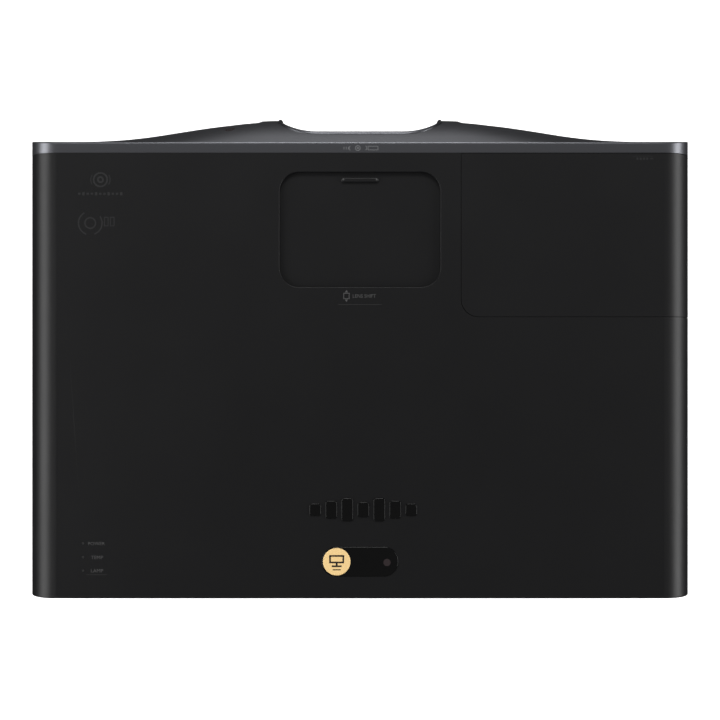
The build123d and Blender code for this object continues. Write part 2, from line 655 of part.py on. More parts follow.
# ---------------------------------------------------------------- dial tray and dials
DIAL_X = 28.0
DIAL_R = 17.0
DIAL_Z = (129.0, 134.5)
with BuildPart() as dial_tray:
    block((-62, 62), (-135, -46), (TRAY_FLOOR[0], 135.7))
    fillet(dial_tray.edges().filter_by(Axis.Z), 10)
    top_face = dial_tray.faces().sort_by(Axis.Z)[-1]
    offset(amount=-2.0, openings=top_face, kind=Kind.INTERSECTION)
    block((-74, -61), (-100, -90), TRAY_FLOOR)
    block((61, 74), (-100, -90), TRAY_FLOOR)
    for x in (-DIAL_X, DIAL_X):
        rod("Z", (120, 134), (x, TRAY_Y), 3 + RUNNING, mode=Mode.SUBTRACT)
save(dial_tray.part, "dial_tray")


def dial(x, foot, tip_radius, label):
    """Grooved thumb dial on a shaft; the shaft's lower end drives its carriage."""
    with BuildPart() as wheel:
        with BuildSketch(Plane.XY.offset(DIAL_Z[0])):
            with Locations((x, TRAY_Y)):
                Circle(DIAL_R)
                with PolarLocations(DIAL_R + 0.4, 24):
                    Circle(1.0, mode=Mode.SUBTRACT)
        extrude(amount=DIAL_Z[1] - DIAL_Z[0])
        with BuildSketch(Plane.XY.offset(DIAL_Z[1])):
            with Locations((x, TRAY_Y)):
                Circle(DIAL_R - 4)
                Circle(DIAL_R - 5.2, mode=Mode.SUBTRACT)
        extrude(amount=-0.8, mode=Mode.SUBTRACT)
        block((x - 0.8, x + 0.8), (TRAY_Y + 3, TRAY_Y + 10), (DIAL_Z[1] - 0.8, DIAL_Z[1] + 1), mode=Mode.SUBTRACT)
        rod("Z", (TRAY_FLOOR[0], DIAL_Z[0]), (x, TRAY_Y), 3)
        rod("Z", (foot, TRAY_FLOOR[0]), (x, TRAY_Y), tip_radius)
    save(wheel.part, label)


dial(DIAL_X, 100.0, 2.5, "vertical_shift_dial")
dial(-DIAL_X, 115.4, 2.5, "horizontal_shift_dial")

# ---------------------------------------------------------------- lens shift mechanism
GUIDE_R = 2.5
CARRIAGE_Y = (-98.5, -91.5)
FLANGE_Y = (-107.5, -100.5)
UP_GUIDE = (50.0, -95.0)  # X and Y of the upright guides
CROSS_GUIDE_Z = 33.0  # the level guides lie this far above and below the lens axis
CROSS_GUIDE_Y = -104.0

with BuildPart() as shift_frame:
    block((-57, 57), FRAME_Y, (LENS_Z - 45, LENS_Z + 45))
    rod("Y", (-95, -80), (0, LENS_Z), 31, mode=Mode.SUBTRACT)
    for x in (-UP_GUIDE[0], UP_GUIDE[0]):
        for z in (-42.5, 42.5):
            block((x - 5, x + 5), (-99, FRAME_Y[0]), (LENS_Z + z - 2.5, LENS_Z + z + 2.5))
        rod("Z", (LENS_Z - 41, LENS_Z + 41), (x, UP_GUIDE[1]), GUIDE_R)
save(shift_frame.part, "shift_frame")

with BuildPart() as shift_carriage:
    block((-57, 57), CARRIAGE_Y, (LENS_Z - 36, LENS_Z + 36))
    rod("Y", (-105, -90), (0, LENS_Z), 30, mode=Mode.SUBTRACT)
    for x in (-UP_GUIDE[0], UP_GUIDE[0]):
        rod("Z", (LENS_Z - 40, LENS_Z + 40), (x, UP_GUIDE[1]), GUIDE_R + RUNNING, mode=Mode.SUBTRACT)
    for end in (-1, 1):
        z = LENS_Z + end * CROSS_GUIDE_Z
        for side in (-1, 1):
            block(sorted((side * 50, side * 57)), (-108, -98), sorted((z - end * 5, z + end * 3)))
        rod("X", (-51, 51), (CROSS_GUIDE_Y, z), GUIDE_R)
    rod("Z", (95.5, 120), (DIAL_X, TRAY_Y), GUIDE_R + RUNNING, mode=Mode.SUBTRACT)
save(shift_carriage.part, "shift_carriage")

BARREL_FRONT = -163.5
with BuildPart() as lens_barrel:
    block((-46, 46), FLANGE_Y, (LENS_Z - 38, LENS_Z + 38))
    rod("Y", (-107, -84), (0, LENS_Z), 26)
    rod("Y", (BARREL_FRONT, -107), (0, LENS_Z), BARREL_R)
    rod("Y", (-112, -83), (0, LENS_Z), 22, mode=Mode.SUBTRACT)
    rod("Y", (BARREL_FRONT - 1, -112), (0, LENS_Z), 30, mode=Mode.SUBTRACT)
    for z in (LENS_Z - CROSS_GUIDE_Z, LENS_Z + CROSS_GUIDE_Z):
        rod("X", (-60, 60), (CROSS_GUIDE_Y, z), GUIDE_R + RUNNING, mode=Mode.SUBTRACT)
    # bar that the horizontal dial's roller drives
    block((-42, -14), (-104, TRAY_Y - GUIDE_R - 0.1), (LENS_Z + 38, 122.6))
save(lens_barrel.part, "lens_barrel")


def grip_ring(span, ribs, label, lever):
    """Ribbed ring that turns on the lens barrel."""
    with BuildPart() as ring:
        with BuildSketch(across(span[1])):
            with Locations((0, LENS_Z)):
                Circle(38)
                with PolarLocations(38.2, ribs):
                    Rectangle(1.2, 1.6, mode=Mode.SUBTRACT)
                Circle(BARREL_R + RUNNING, mode=Mode.SUBTRACT)
        extrude(amount=span[1] - span[0])
        if lever:
            middle = (span[0] + span[1]) / 2
            block((-3, 3), (middle - 2.5, middle + 2.5), (LENS_Z + 36, LENS_Z + 41.5))
    save(ring.part, label)


grip_ring((-145.5, -133.5), 60, "zoom_ring", True)
grip_ring((-161.0, -148.5), 60, "focus_ring", False)

CELL_R = 30.0 - RUNNING
with BuildPart() as front_lens_cell:
    rod("Y", (-165.5, -141), (0, LENS_Z), CELL_R)
    rod("Y", (-167.6, -164.5), (0, LENS_Z), 33.5)
    fillet(front_lens_cell.faces().sort_by(Axis.Y)[0].edges(), 1.0)
    rod("Y", (-171, -140), (0, LENS_Z), 26.5, mode=Mode.SUBTRACT)
    with BuildSketch(across(-166.5)):
        with Locations((0, LENS_Z)):
            Circle(28.5)
            Circle(26.5, mode=Mode.SUBTRACT)
    extrude(amount=2, mode=Mode.SUBTRACT)
save(front_lens_cell.part, "front_lens_cell")

GLASS_R = 26.5
with BuildPart() as front_lens:
    rod("Y", (-167, -148), (0, LENS_Z), GLASS_R)
    for vertex, edge in ((-166.0, -159.5), (-149.0, -154.0)):
        radius = (GLASS_R**2 + (edge - vertex) ** 2) / (2 * (edge - vertex))
        with Locations((0, vertex + radius, LENS_Z)):
            Sphere(abs(radius), mode=Mode.INTERSECT)
save(front_lens.part, "front_lens")

# ---------------------------------------------------------------- light engine
with BuildPart() as engine_housing:
    block((-92, -60), (-110, -34), (45, 105))
    block((-62, 45), (-86, -34), (45, 105))
    block((-89, -63), (-107, -37), (48, 102), mode=Mode.SUBTRACT)
    block((-65, 42), (-83, -37), (48, 102), mode=Mode.SUBTRACT)
    rod("Y", (-90, -80), (0, LENS_Z), 31.5, mode=Mode.SUBTRACT)
    block((-12, 12), (-40, -30), (LENS_Z - 8, LENS_Z + 8), mode=Mode.SUBTRACT)
    block((-95, -85), (LAMP_Y - 3, LAMP_Y + 3), (LAMP_Z - 4, LAMP_Z + 4), mode=Mode.SUBTRACT)
    for x, y in ((-84, -102), (-84, -42), (37, -42), (37, -78)):
        rod("Z", (FLOOR, 46), (x, y), 5)
save(engine_housing.part, "engine_housing")

with BuildPart() as light_rod:
    block((-108, -72), (LAMP_Y - 3, LAMP_Y + 3), (LAMP_Z - 4, LAMP_Z + 4))
save(light_rod.part, "light_rod")

WHEEL_Z = LAMP_Z + 19
with BuildPart() as color_wheel:
    rod("X", (-116.2, -115.2), (LAMP_Y, WHEEL_Z), 25)
    rod("X", (-117.5, -113), (LAMP_Y, WHEEL_Z), 8)
    rod("X", (-113, -103), (LAMP_Y, WHEEL_Z), 1.5)
save(color_wheel.part, "color_wheel")

with BuildPart() as color_wheel_motor:
    rod("X", (-112, -101), (LAMP_Y, WHEEL_Z), 9)
    block((-102, -92), (LAMP_Y - 8, LAMP_Y + 8), (WHEEL_Z - 9, WHEEL_Z + 9))
    rod("X", (-113, -102), (LAMP_Y, WHEEL_Z), 1.5 + RUNNING, mode=Mode.SUBTRACT)
save(color_wheel_motor.part, "color_wheel_motor")

with BuildPart() as mirror_chip_board:
    block((-42, 42), (-34, -32.4), (36, 112))
    block((-10, 10), (-36.5, -34), (LENS_Z - 6.5, LENS_Z + 6.5))
save(mirror_chip_board.part, "mirror_chip_board")

with BuildPart() as mirror_chip_heatsink:
    block((-34, 34), (-32.4, -28), (42, 108))
    for fin in range(12):
        x = -34 + 6 * fin
        block((x, x + 2), (-28, 6), (42, 108))
save(mirror_chip_heatsink.part, "mirror_chip_heatsink")

# ---------------------------------------------------------------- lamp module
with BuildPart() as lamp_housing:
    block((-226, -152), (-132, -42), (36, 108))
    block((-223, -155), (-129, -45), (39, 105), mode=Mode.SUBTRACT)
    rod("X", (-157, -150), (LAMP_Y, LAMP_Z), 24, mode=Mode.SUBTRACT)
    for z in range(48, 100, 8):
        block((-214, -164), (-136, -126), (z, z + 4), mode=Mode.SUBTRACT)
        block((-214, -164), (-48, -38), (z, z + 4), mode=Mode.SUBTRACT)
    for x, y in ((-160, -50), (-160, -124), (-214, -50)):
        rod("Z", (FLOOR, 36), (x, y), 5)
    # carrying loop on top
    block((-206, -172), (-92, -82), (108, 122))
    block((-201, -177), (-93, -81), (108, 118), mode=Mode.SUBTRACT)
save(lamp_housing.part, "lamp_housing")

with BuildPart() as lamp_bulb:
    with BuildSketch(Plane.XY.offset(LAMP_Z)):
        with BuildLine():
            ThreePointArc((-200, LAMP_Y + 6), (-184, LAMP_Y + 20), (-156, LAMP_Y + 29))
            Line((-156, LAMP_Y + 29), (-156, LAMP_Y + 26.5))
            ThreePointArc((-156, LAMP_Y + 26.5), (-182.5, LAMP_Y + 18), (-197, LAMP_Y + 6))
            Line((-197, LAMP_Y + 6), (-200, LAMP_Y + 6))
        make_face()
    revolve(axis=Axis((0, LAMP_Y, LAMP_Z), (1, 0, 0)))
    rod("X", (-222, -197), (LAMP_Y, LAMP_Z), 6.2)
    rod("X", (-198, -168), (LAMP_Y, LAMP_Z), 3)
    with Locations((-184, LAMP_Y, LAMP_Z)):
        Sphere(5)
save(lamp_bulb.part, "lamp_bulb")

# ---------------------------------------------------------------- fans
FAN = 80.0
BLADES = 7


def fan(x_low, y, z, side, name):
    """Axial fan with its axis along X: a square frame with struts, and a rotor of curved-back blades."""
    with BuildPart() as frame:
        block((x_low, x_low + 25), (y - FAN / 2, y + FAN / 2), (z - FAN / 2, z + FAN / 2))
        rod("X", (x_low - 1, x_low + 26), (y, z), 38, mode=Mode.SUBTRACT)
        for dy in (-1, 1):
            for dz in (-1, 1):
                rod("X", (x_low - 1, x_low + 26), (y + dy * 35.75, z + dz * 35.75), 2.1, mode=Mode.SUBTRACT)
        back = (x_low, x_low + 3) if side > 0 else (x_low + 22, x_low + 25)
        block(back, (y - 38.5, y + 38.5), (z - 2, z + 2))
        block(back, (y - 2, y + 2), (z - 38.5, z + 38.5))
        rod("X", back, (y, z), 14)
        rod("X", (x_low - 1, x_low + 26), (y, z), 1.5 + RUNNING, mode=Mode.SUBTRACT)
    save(frame.part, f"{name}_fan_frame")
    hub = (x_low + 4, x_low + 23) if side > 0 else (x_low + 2, x_low + 21)
    axle = (x_low + 0.5, x_low + 4) if side > 0 else (x_low + 21, x_low + 24.5)
    with BuildPart() as rotor:
        rod("X", hub, (y, z), 14.5)
        rod("X", axle, (y, z), 1.5)
        for blade in range(BLADES):
            with BuildPart(mode=Mode.PRIVATE) as paddle:
                with Locations(Location((0, 0, 24.5), (0, 0, 38))):
                    Box(1.6, 20, 24)
            turned = Rot(blade * 360 / BLADES, 0, 0) * paddle.part
            add(Pos((hub[0] + hub[1]) / 2, y, z) * turned)
    save(rotor.part, f"{name}_fan_rotor")


fan(212.5, -5, 68, 1, "intake")
fan(-238.5, 40, 68, -1, "exhaust")

# ---------------------------------------------------------------- feet
STUD_R = 4.0
for side_name, (x, y) in zip(("left", "right"), FRONT_FEET):
    with BuildPart() as foot_stud:
        rod("Z", (0, 1.6), (x, y), 11)
        fillet(foot_stud.faces().sort_by(Axis.Z)[0].edges(), 0.6)
        rod("Z", (1.6, 30), (x, y), STUD_R)
    save(foot_stud.part, f"foot_stud_{side_name}")
    with BuildPart() as foot_wheel:
        with BuildSketch(Plane.XY.offset(1.9)):
            with Locations((x, y)):
                Circle(14)
                with PolarLocations(14.4, 30):
                    Circle(1.0, mode=Mode.SUBTRACT)
                Circle(STUD_R + RUNNING, mode=Mode.SUBTRACT)
        extrude(amount=5.8)
    save(foot_wheel.part, f"foot_wheel_{side_name}")

with BuildPart() as rear_feet:
    for x, y in REAR_FEET:
        with BuildSketch():
            with Locations((x, y)):
                Circle(11)
        extrude(amount=BOTTOM, taper=6)
        rod("Z", (BOTTOM, FLOOR + 3), (x, y), 3)
save(rear_feet.part, "rear_feet")

# ---------------------------------------------------------------- fasteners
with BuildPart() as case_screws:
    for x, y in POSTS:
        rod("Z", (BOTTOM + 0.4, 11), (x, y), 3.4)
        rod("Z", (11, 31), (x, y), 1.5)
        block((x - 2, x + 2), (y - 0.4, y + 0.4), (BOTTOM, BOTTOM + 1.4), mode=Mode.SUBTRACT)
        block((x - 0.4, x + 0.4), (y - 2, y + 2), (BOTTOM, BOTTOM + 1.4), mode=Mode.SUBTRACT)
    for x in (-PANEL_SCREWS_X, PANEL_SCREWS_X):
        for z in (15.5, 135.5):
            rod("Y", (PANEL_Y[1], PANEL_Y[1] + 2.2), (x, z), 3.2)
            rod("Y", (165, PANEL_Y[1]), (x, z), 1.5)
            block((x - 2, x + 2), (179.7, 182), (z - 0.4, z + 0.4), mode=Mode.SUBTRACT)
            block((x - 0.4, x + 0.4), (179.7, 182), (z - 2, z + 2), mode=Mode.SUBTRACT)
save(case_screws.part, "case_screws")
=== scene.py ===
"""Looks for a home cinema projector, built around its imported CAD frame.

+Z is up, the front with the lens faces -Y, the keypad is on the +X side and the lamp cover on the -X side.
Sizes are in millimetres, as a maker would write them, and each mesh is turned to metres as it is made. Lamps,
camera and the scales of patterns are in metres.
"""

import bmesh
import bpy
import numpy as np
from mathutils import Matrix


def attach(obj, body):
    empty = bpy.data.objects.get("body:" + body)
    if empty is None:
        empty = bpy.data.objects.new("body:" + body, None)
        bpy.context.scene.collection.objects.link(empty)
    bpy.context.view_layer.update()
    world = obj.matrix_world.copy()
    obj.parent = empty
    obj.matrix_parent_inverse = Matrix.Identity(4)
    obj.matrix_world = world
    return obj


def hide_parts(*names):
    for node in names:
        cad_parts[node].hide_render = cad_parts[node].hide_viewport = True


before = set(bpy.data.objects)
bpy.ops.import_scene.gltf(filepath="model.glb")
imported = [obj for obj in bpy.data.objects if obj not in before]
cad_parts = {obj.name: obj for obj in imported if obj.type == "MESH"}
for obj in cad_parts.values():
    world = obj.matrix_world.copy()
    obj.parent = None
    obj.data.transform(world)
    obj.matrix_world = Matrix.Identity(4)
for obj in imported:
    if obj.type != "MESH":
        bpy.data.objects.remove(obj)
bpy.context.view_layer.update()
MM = 0.001

# ---------------------------------------------------------------- studio
# A glowing table under the projector, with soft boxes before it, beside it and over its two ends. The camera
# is a long lens straight above, its top edge towards the projector's front.
camera = bpy.data.objects.new("camera", bpy.data.cameras.new("camera"))
bpy.context.scene.collection.objects.link(camera)
camera.location = (0, 0.00575, 1.170)
camera.rotation_euler = (0, 0, np.pi)
camera.data.sensor_width = 36
camera.data.lens = 69.6
bpy.context.scene.camera = camera
bpy.context.scene.view_settings.view_transform = "Standard"


def linear(colour):
    """Turns an sRGB hex colour to the linear values that a shader takes, by the sRGB curve."""
    srgb = np.array([int(colour[i : i + 2], 16) for i in (1, 3, 5)]) / 255
    values = np.where(srgb <= 0.04045, srgb / 12.92, ((srgb + 0.055) / 1.055) ** 2.4)
    return (*values.tolist(), 1.0)


def add_node(material, kind, values=(), links=()):
    """Adds a shader node, sets its inputs or its own settings, and links its inputs to other outputs."""
    node = material.node_tree.nodes.new(kind)
    for name, value in dict(values).items():
        if isinstance(name, str) and hasattr(node, name):
            setattr(node, name, value)
        else:
            node.inputs[name].default_value = value
    for name, source in dict(links).items():
        material.node_tree.links.new(source, node.inputs[name])
    return node


def new_material(name, colour, **settings):
    """Starts a material: a principled shader of one colour, with any of its other inputs set by name."""
    material = bpy.data.materials.new(name)
    material.use_nodes = True
    shader = material.node_tree.nodes["Principled BSDF"]
    shader.inputs["Base Color"].default_value = linear(colour)
    for key, value in settings.items():
        shader.inputs[key.replace("_", " ")].default_value = value
    material.diffuse_color = linear(colour)
    return material, shader


def add_mesh(name, vertices, faces, material=None, sharp=35.0):
    """Makes an object from points in millimetres, merging those that meet. Edges over sharp stay crisp."""
    mesh = bpy.data.meshes.new(name)
    mesh.from_pydata((np.asarray(vertices, float) * MM).tolist(), [], faces)
    work = bmesh.new()
    work.from_mesh(mesh)
    bmesh.ops.remove_doubles(work, verts=work.verts, dist=2e-6)
    bmesh.ops.dissolve_degenerate(work, edges=work.edges, dist=1e-6)
    work.to_mesh(mesh)
    work.free()
    mesh.polygons.foreach_set("use_smooth", np.ones(len(mesh.polygons), bool))
    mesh.set_sharp_from_angle(angle=np.radians(sharp))
    piece = bpy.data.objects.new(name, mesh)
    bpy.context.scene.collection.objects.link(piece)
    if material:
        mesh.materials.append(material)
    return piece


def grid_faces(rows, columns, first=0, closed=False, flip=False):
    """Quads of a grid of points stored row by row. closed joins the last column to the first."""
    wide = columns if closed else columns - 1
    row, column = np.meshgrid(np.arange(rows - 1), np.arange(wide), indexing="ij")
    after = (column + 1) % columns
    quads = np.stack(
        [
            row * columns + column,
            row * columns + after,
            (row + 1) * columns + after,
            (row + 1) * columns + column,
        ],
        -1,
    ).reshape(-1, 4)
    if flip:
        quads = quads[:, ::-1]
    return (quads + first).tolist()


def add_surface(name, grids, material=None, sharp=35.0):
    """One object from several (grid of points, closed, flip), each a function of two parameters."""
    vertices, faces, first = [], [], 0
    for grid, closed, flip in grids:
        rows, columns = grid.shape[:2]
        vertices.append(grid.reshape(-1, 3))
        faces += grid_faces(rows, columns, first, closed, flip)
        first += rows * columns
    return add_mesh(name, np.concatenate(vertices), faces, material, sharp)


# the floor is a light table: opal acrylic lit from below, which glows evenly and still takes a soft shadow
opal, shader = new_material("opal_light_table", "#ededed", Roughness=0.9)
shader.inputs["Emission Color"].default_value = linear("#ffffff")
shader.inputs["Emission Strength"].default_value = 0.82
TABLE_HALF = 9000
table_x, table_y = np.meshgrid([-TABLE_HALF, TABLE_HALF], [-TABLE_HALF, TABLE_HALF])
floor = add_surface("floor", [(np.stack([table_x, table_y, 0 * table_x], -1), False, False)], opal)
floor.visible_glossy = False
floor.visible_diffuse = False
floor.visible_shadow = False


def soft_box(name, place, aim, size, watts):
    """A rectangular area lamp at place, turned to face aim; all in metres."""
    lamp = bpy.data.lights.new(name, "AREA")
    lamp.shape = "RECTANGLE"
    lamp.size, lamp.size_y = size
    lamp.energy = watts
    fitting = bpy.data.objects.new(name, lamp)
    bpy.context.scene.collection.objects.link(fitting)
    across, away, up = np.subtract(place, aim)
    fitting.location = place
    fitting.visible_camera = False
    fitting.rotation_euler = (np.arctan2(np.hypot(across, away), up), 0, np.arctan2(across, -away))
    return fitting


soft_box("front_box", (0, -2.2, -0.2), (0, -0.2, 0.1), (0.9, 1.6), 5.2)
soft_box("front_top_box", (0, -2.3, 1.9), (0, -0.1, 0.1), (1.8, 1.0), 46)
# the rear box lights the top softly but isn't mirrored in it, so the rims that face it stay dark
rear_top = soft_box("rear_top_box", (0, 2.7, 1.5), (0, 0.1, 0.1), (2.4, 1.0), 40)
rear_top.visible_glossy = False
soft_box("keypad_side_box", (2.0, 0, 1.15), (0.24, 0, 0.12), (2.4, 1.2), 46)
soft_box("lamp_side_box", (-2.2, 0, 0.85), (-0.24, 0, 0.12), (2.4, 1.0), 46)

# the room: dim grey walls above the horizon, darker below it; seen directly it is as pale as the floor
room = bpy.data.worlds.new("room")
bpy.context.scene.world = room
room.use_nodes = True
walls = room.node_tree.nodes["Background"]
toward = add_node(room, "ShaderNodeTexCoord")
height = add_node(room, "ShaderNodeSeparateXYZ", links={"Vector": toward.outputs["Generated"]})
dim = add_node(
    room,
    "ShaderNodeMapRange",
    {"From Min": -0.25, "From Max": 0.35, "To Min": 0.03, "To Max": 0.17},
    {"Value": height.outputs["Z"]},
)
ray = add_node(room, "ShaderNodeLightPath")
glow = add_node(
    room,
    "ShaderNodeMix",
    {"B": 1.0},
    {"Factor": ray.outputs["Is Camera Ray"], "A": dim.outputs["Result"]},
)
room.node_tree.links.new(glow.outputs["Result"], walls.inputs["Strength"])
walls.inputs["Color"].default_value = linear("#fcfcfd")

# ---------------------------------------------------------------- case mouldings
# Top cover, base pan, rear panel, lamp cover and door: ABS injection moulded in a spark-eroded tool, which
# gives the plastic an even, fine, matt grain. They clip and screw together, with narrow shut lines.
def pattern(material, kind, values):
    """Adds a procedural texture fixed to the object, its scale counted per metre."""
    place = add_node(material, "ShaderNodeTexCoord")
    return add_node(material, kind, values, {"Vector": place.outputs["Object"]})


grained_abs, shader = new_material("grained_black_abs", "#0c0c0d", Roughness=0.42, IOR=1.5)
shader.inputs["Specular IOR Level"].default_value = 0.32
# the tool's grain is about 0.15 mm; drawn at 0.7 mm so that it shows
grain = pattern(grained_abs, "ShaderNodeTexNoise", {"Scale": 1400.0, "Detail": 3.0})
relief = add_node(
    grained_abs, "ShaderNodeBump", {"Strength": 0.45, "Distance": 0.00008}, {"Height": grain.outputs["Fac"]}
)
grained_abs.node_tree.links.new(relief.outputs["Normal"], shader.inputs["Normal"])
# mould flow and handling leave the sheen slightly uneven over some 60 mm
drift = pattern(grained_abs, "ShaderNodeTexNoise", {"Scale": 16.0, "Detail": 2.0})
sheen = add_node(
    grained_abs,
    "ShaderNodeMapRange",
    {"From Min": 0.3, "From Max": 0.7, "To Min": 0.41, "To Max": 0.435},
    {"Value": drift.outputs["Fac"]},
)
grained_abs.node_tree.links.new(sheen.outputs["Result"], shader.inputs["Roughness"])


def finish_nodes(material, *names):
    """Gives CAD nodes one material in place of what they were packed with."""
    for name in names:
        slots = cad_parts[name].data.materials
        slots.clear()
        slots.append(material)


finish_nodes(grained_abs, "top_cover", "base_pan", "rear_panel", "lamp_cover", "lens_shift_door")

# ---------------------------------------------------------------- front fascia
# The swollen front is one moulding in ABS, sprayed with a fine gunmetal lacquer. It wraps over the case as a
# narrow strip and turns in around the lens mouth and the two vents, each edge rounded by under a millimetre.
CASE_HALF, CASE_CORNER, CASE_MIDDLE, CASE_HALF_TALL = 246.5, 22.0, 75.5, 67.5
CREASE_Y, STRIP_REAR_Y, EDGE = -154.8, -147.25, 0.8


def swell_y(x, z):
    """Front surface: an arc in height through the crease, its depth a raised cosine out from the lens."""
    share = np.clip((np.abs(x) - 62.0) / 150.0, 0, 1)
    depth = 7.0 + 19.0 * (1 + np.cos(np.pi * share)) / 2
    radius = (CASE_HALF_TALL**2 + depth**2) / (2 * depth)
    return CREASE_Y - depth + radius - np.sqrt(radius**2 - (z - CASE_MIDDLE) ** 2)


def rounded_outline(corners, radii, count):
    """Closed outline with rounded corners, walked from the middle of each corner to the next, evenly, count
    points a side. Each corner is a circular arc tangent to its two sides."""
    corners = np.array(corners, float)
    arcs = []
    for i, radius in enumerate(radii):
        here, before, after = corners[i], corners[i - 1], corners[(i + 1) % len(corners)]
        u = (before - here) / np.linalg.norm(before - here)
        v = (after - here) / np.linalg.norm(after - here)
        half = np.arccos(np.clip(u @ v, -1, 1)) / 2
        centre = here + (u + v) / np.linalg.norm(u + v) * radius / np.sin(half)
        start, end = here + u * radius / np.tan(half), here + v * radius / np.tan(half)
        sweep_angle = np.pi - 2 * half
        t = np.linspace(0, 1, 33)[:, None]
        d0, d1 = start - centre, end - centre
        swung = np.sin((1 - t) * sweep_angle) * d0 + np.sin(t * sweep_angle) * d1
        arc = centre + swung / np.sin(sweep_angle)
        arcs.append(arc if radius > 0 else np.repeat(here[None], 33, 0))
    sides = []
    for i in range(len(arcs)):
        run = np.concatenate([arcs[i][16:], arcs[(i + 1) % len(arcs)][:17]])
        along = np.concatenate([[0], np.cumsum(np.linalg.norm(np.diff(run, axis=0), axis=1))])
        at = np.linspace(0, along[-1], count, endpoint=False)
        sides.append(np.stack([np.interp(at, along, run[:, k]) for k in (0, 1)], -1))
    return np.concatenate(sides)


def rounded_lip(edge, control, end, steps=4):
    """Rows of a small rounding between two rows of points: a quadratic curve pulled to the sharp corner."""
    t = np.linspace(0, 1, steps + 1)[:, None, None]
    return (1 - t) ** 2 * edge + 2 * t * (1 - t) * control + t**2 * end


def on_swell(outline, back=0.0):
    """Lays (x, z) points on the front surface, or back millimetres behind it."""
    return np.stack([outline[..., 0], swell_y(outline[..., 0], outline[..., 1]) + back, outline[..., 1]], -1)


def zone_around(opening, border, rows=16):
    """Front surface from an opening to its zone's border: wall, rounding, then straight steps outwards."""
    step = (border - opening) / np.linalg.norm(border - opening, axis=1, keepdims=True)
    shoulder = opening + EDGE * step
    wall = np.stack([on_swell(opening, 3.0), on_swell(opening, EDGE)])
    lip = rounded_lip(on_swell(opening, EDGE), on_swell(opening), on_swell(shoulder))
    share = np.linspace(0, 1, rows)[1:, None, None] ** 1.3
    face = on_swell(shoulder + (border - shoulder) * share)
    return np.concatenate([wall[:1], lip, face])


def rim_beyond(border):
    """Crease and strip: over a small rounding, back along the case outline, then turned in."""
    inner_half, inner_tall = CASE_HALF - CASE_CORNER, CASE_HALF_TALL - CASE_CORNER
    anchor = np.stack(
        [
            np.clip(border[:, 0], -inner_half, inner_half),
            np.clip(border[:, 1], CASE_MIDDLE - inner_tall, CASE_MIDDLE + inner_tall),
        ],
        -1,
    )
    outward = (border - anchor) / np.linalg.norm(border - anchor, axis=1, keepdims=True)
    skin = anchor + CASE_CORNER * outward
    crease = on_swell(skin)
    lip = rounded_lip(on_swell(border), crease, crease + (0, EDGE, 0), 5)
    y = crease[:, 1] + EDGE + (STRIP_REAR_Y - crease[:, 1] - EDGE) * np.linspace(0, 1, 5)[1:, None]
    strip = np.stack([np.broadcast_to(skin[:, 0], y.shape), y, np.broadcast_to(skin[:, 1], y.shape)], -1)
    turned = anchor + (CASE_CORNER - 2.4) * outward
    inside = np.stack(
        [
            np.stack([turned[:, 0], np.full(len(turned), STRIP_REAR_Y), turned[:, 1]], -1),
            np.stack([turned[:, 0], np.full(len(turned), STRIP_REAR_Y - 5), turned[:, 1]], -1),
        ]
    )
    return np.concatenate([lip, strip, inside])


SIDE_COUNT = 44
ZONE_X, LOW_Z, HIGH_Z = 69.0, CASE_MIDDLE - CASE_HALF_TALL + EDGE, CASE_MIDDLE + CASE_HALF_TALL - EDGE
MOUTH_HALF, MOUTH_HALF_TALL, MOUTH_CORNER = 63.0, 57.5, 31.0


def mouth_outline(inset):
    """The rounded square mouth around the lens, moved in by inset."""
    wide, tall = MOUTH_HALF - inset, MOUTH_HALF_TALL - inset
    corners = [(-wide, -tall), (wide, -tall), (wide, tall), (-wide, tall)]
    return rounded_outline(corners, [MOUTH_CORNER - inset] * 4, SIDE_COUNT) + (0, CASE_MIDDLE)


mouth = mouth_outline(0)
centre_border = rounded_outline(
    [(-ZONE_X, LOW_Z), (ZONE_X, LOW_Z), (ZONE_X, HIGH_Z), (-ZONE_X, HIGH_Z)], [0] * 4, SIDE_COUNT
)
FAR_X = CASE_HALF - EDGE
vent = rounded_outline([(76, 41), (231, 52), (231, 99), (76, 110)], [10] * 4, SIDE_COUNT)
vent_border = rounded_outline(
    [(ZONE_X, LOW_Z), (FAR_X, LOW_Z), (FAR_X, HIGH_Z), (ZONE_X, HIGH_Z)],
    [0, CASE_CORNER - EDGE, CASE_CORNER - EDGE, 0],
    SIDE_COUNT,
)
grids = [(zone_around(mouth, centre_border), True, False)]
grids.append((rim_beyond(centre_border[: SIDE_COUNT + 1]), False, False))
grids.append((rim_beyond(centre_border[2 * SIDE_COUNT : 3 * SIDE_COUNT + 1]), False, False))
for side in (1, -1):
    reflect = np.array([side, 1, 1])
    grids.append((zone_around(vent, vent_border) * reflect, True, side < 0))
    grids.append((rim_beyond(vent_border[: 3 * SIDE_COUNT + 1]) * reflect, False, side < 0))


def blend(material, share, first, second):
    """Adds a mix of two hex colours by a share from nought to one."""
    colours = {"data_type": "RGBA", 6: linear(first), 7: linear(second)}
    return add_node(material, "ShaderNodeMix", colours, {0: share})


gunmetal, shader = new_material("gunmetal_lacquer", "#606165", Roughness=0.36, Metallic=0.9)
# lacquer flake is some 0.05 mm; drawn at 0.5 mm, very faint
flake = pattern(gunmetal, "ShaderNodeTexNoise", {"Scale": 2000.0, "Detail": 2.0})
tint = blend(gunmetal, flake.outputs["Fac"], "#5a5b5f", "#66676b")
gunmetal.node_tree.links.new(tint.outputs[2], shader.inputs["Base Color"])
fascia = add_surface("fascia_shell", grids, gunmetal)
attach(fascia, "chassis")
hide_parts("front_fascia")

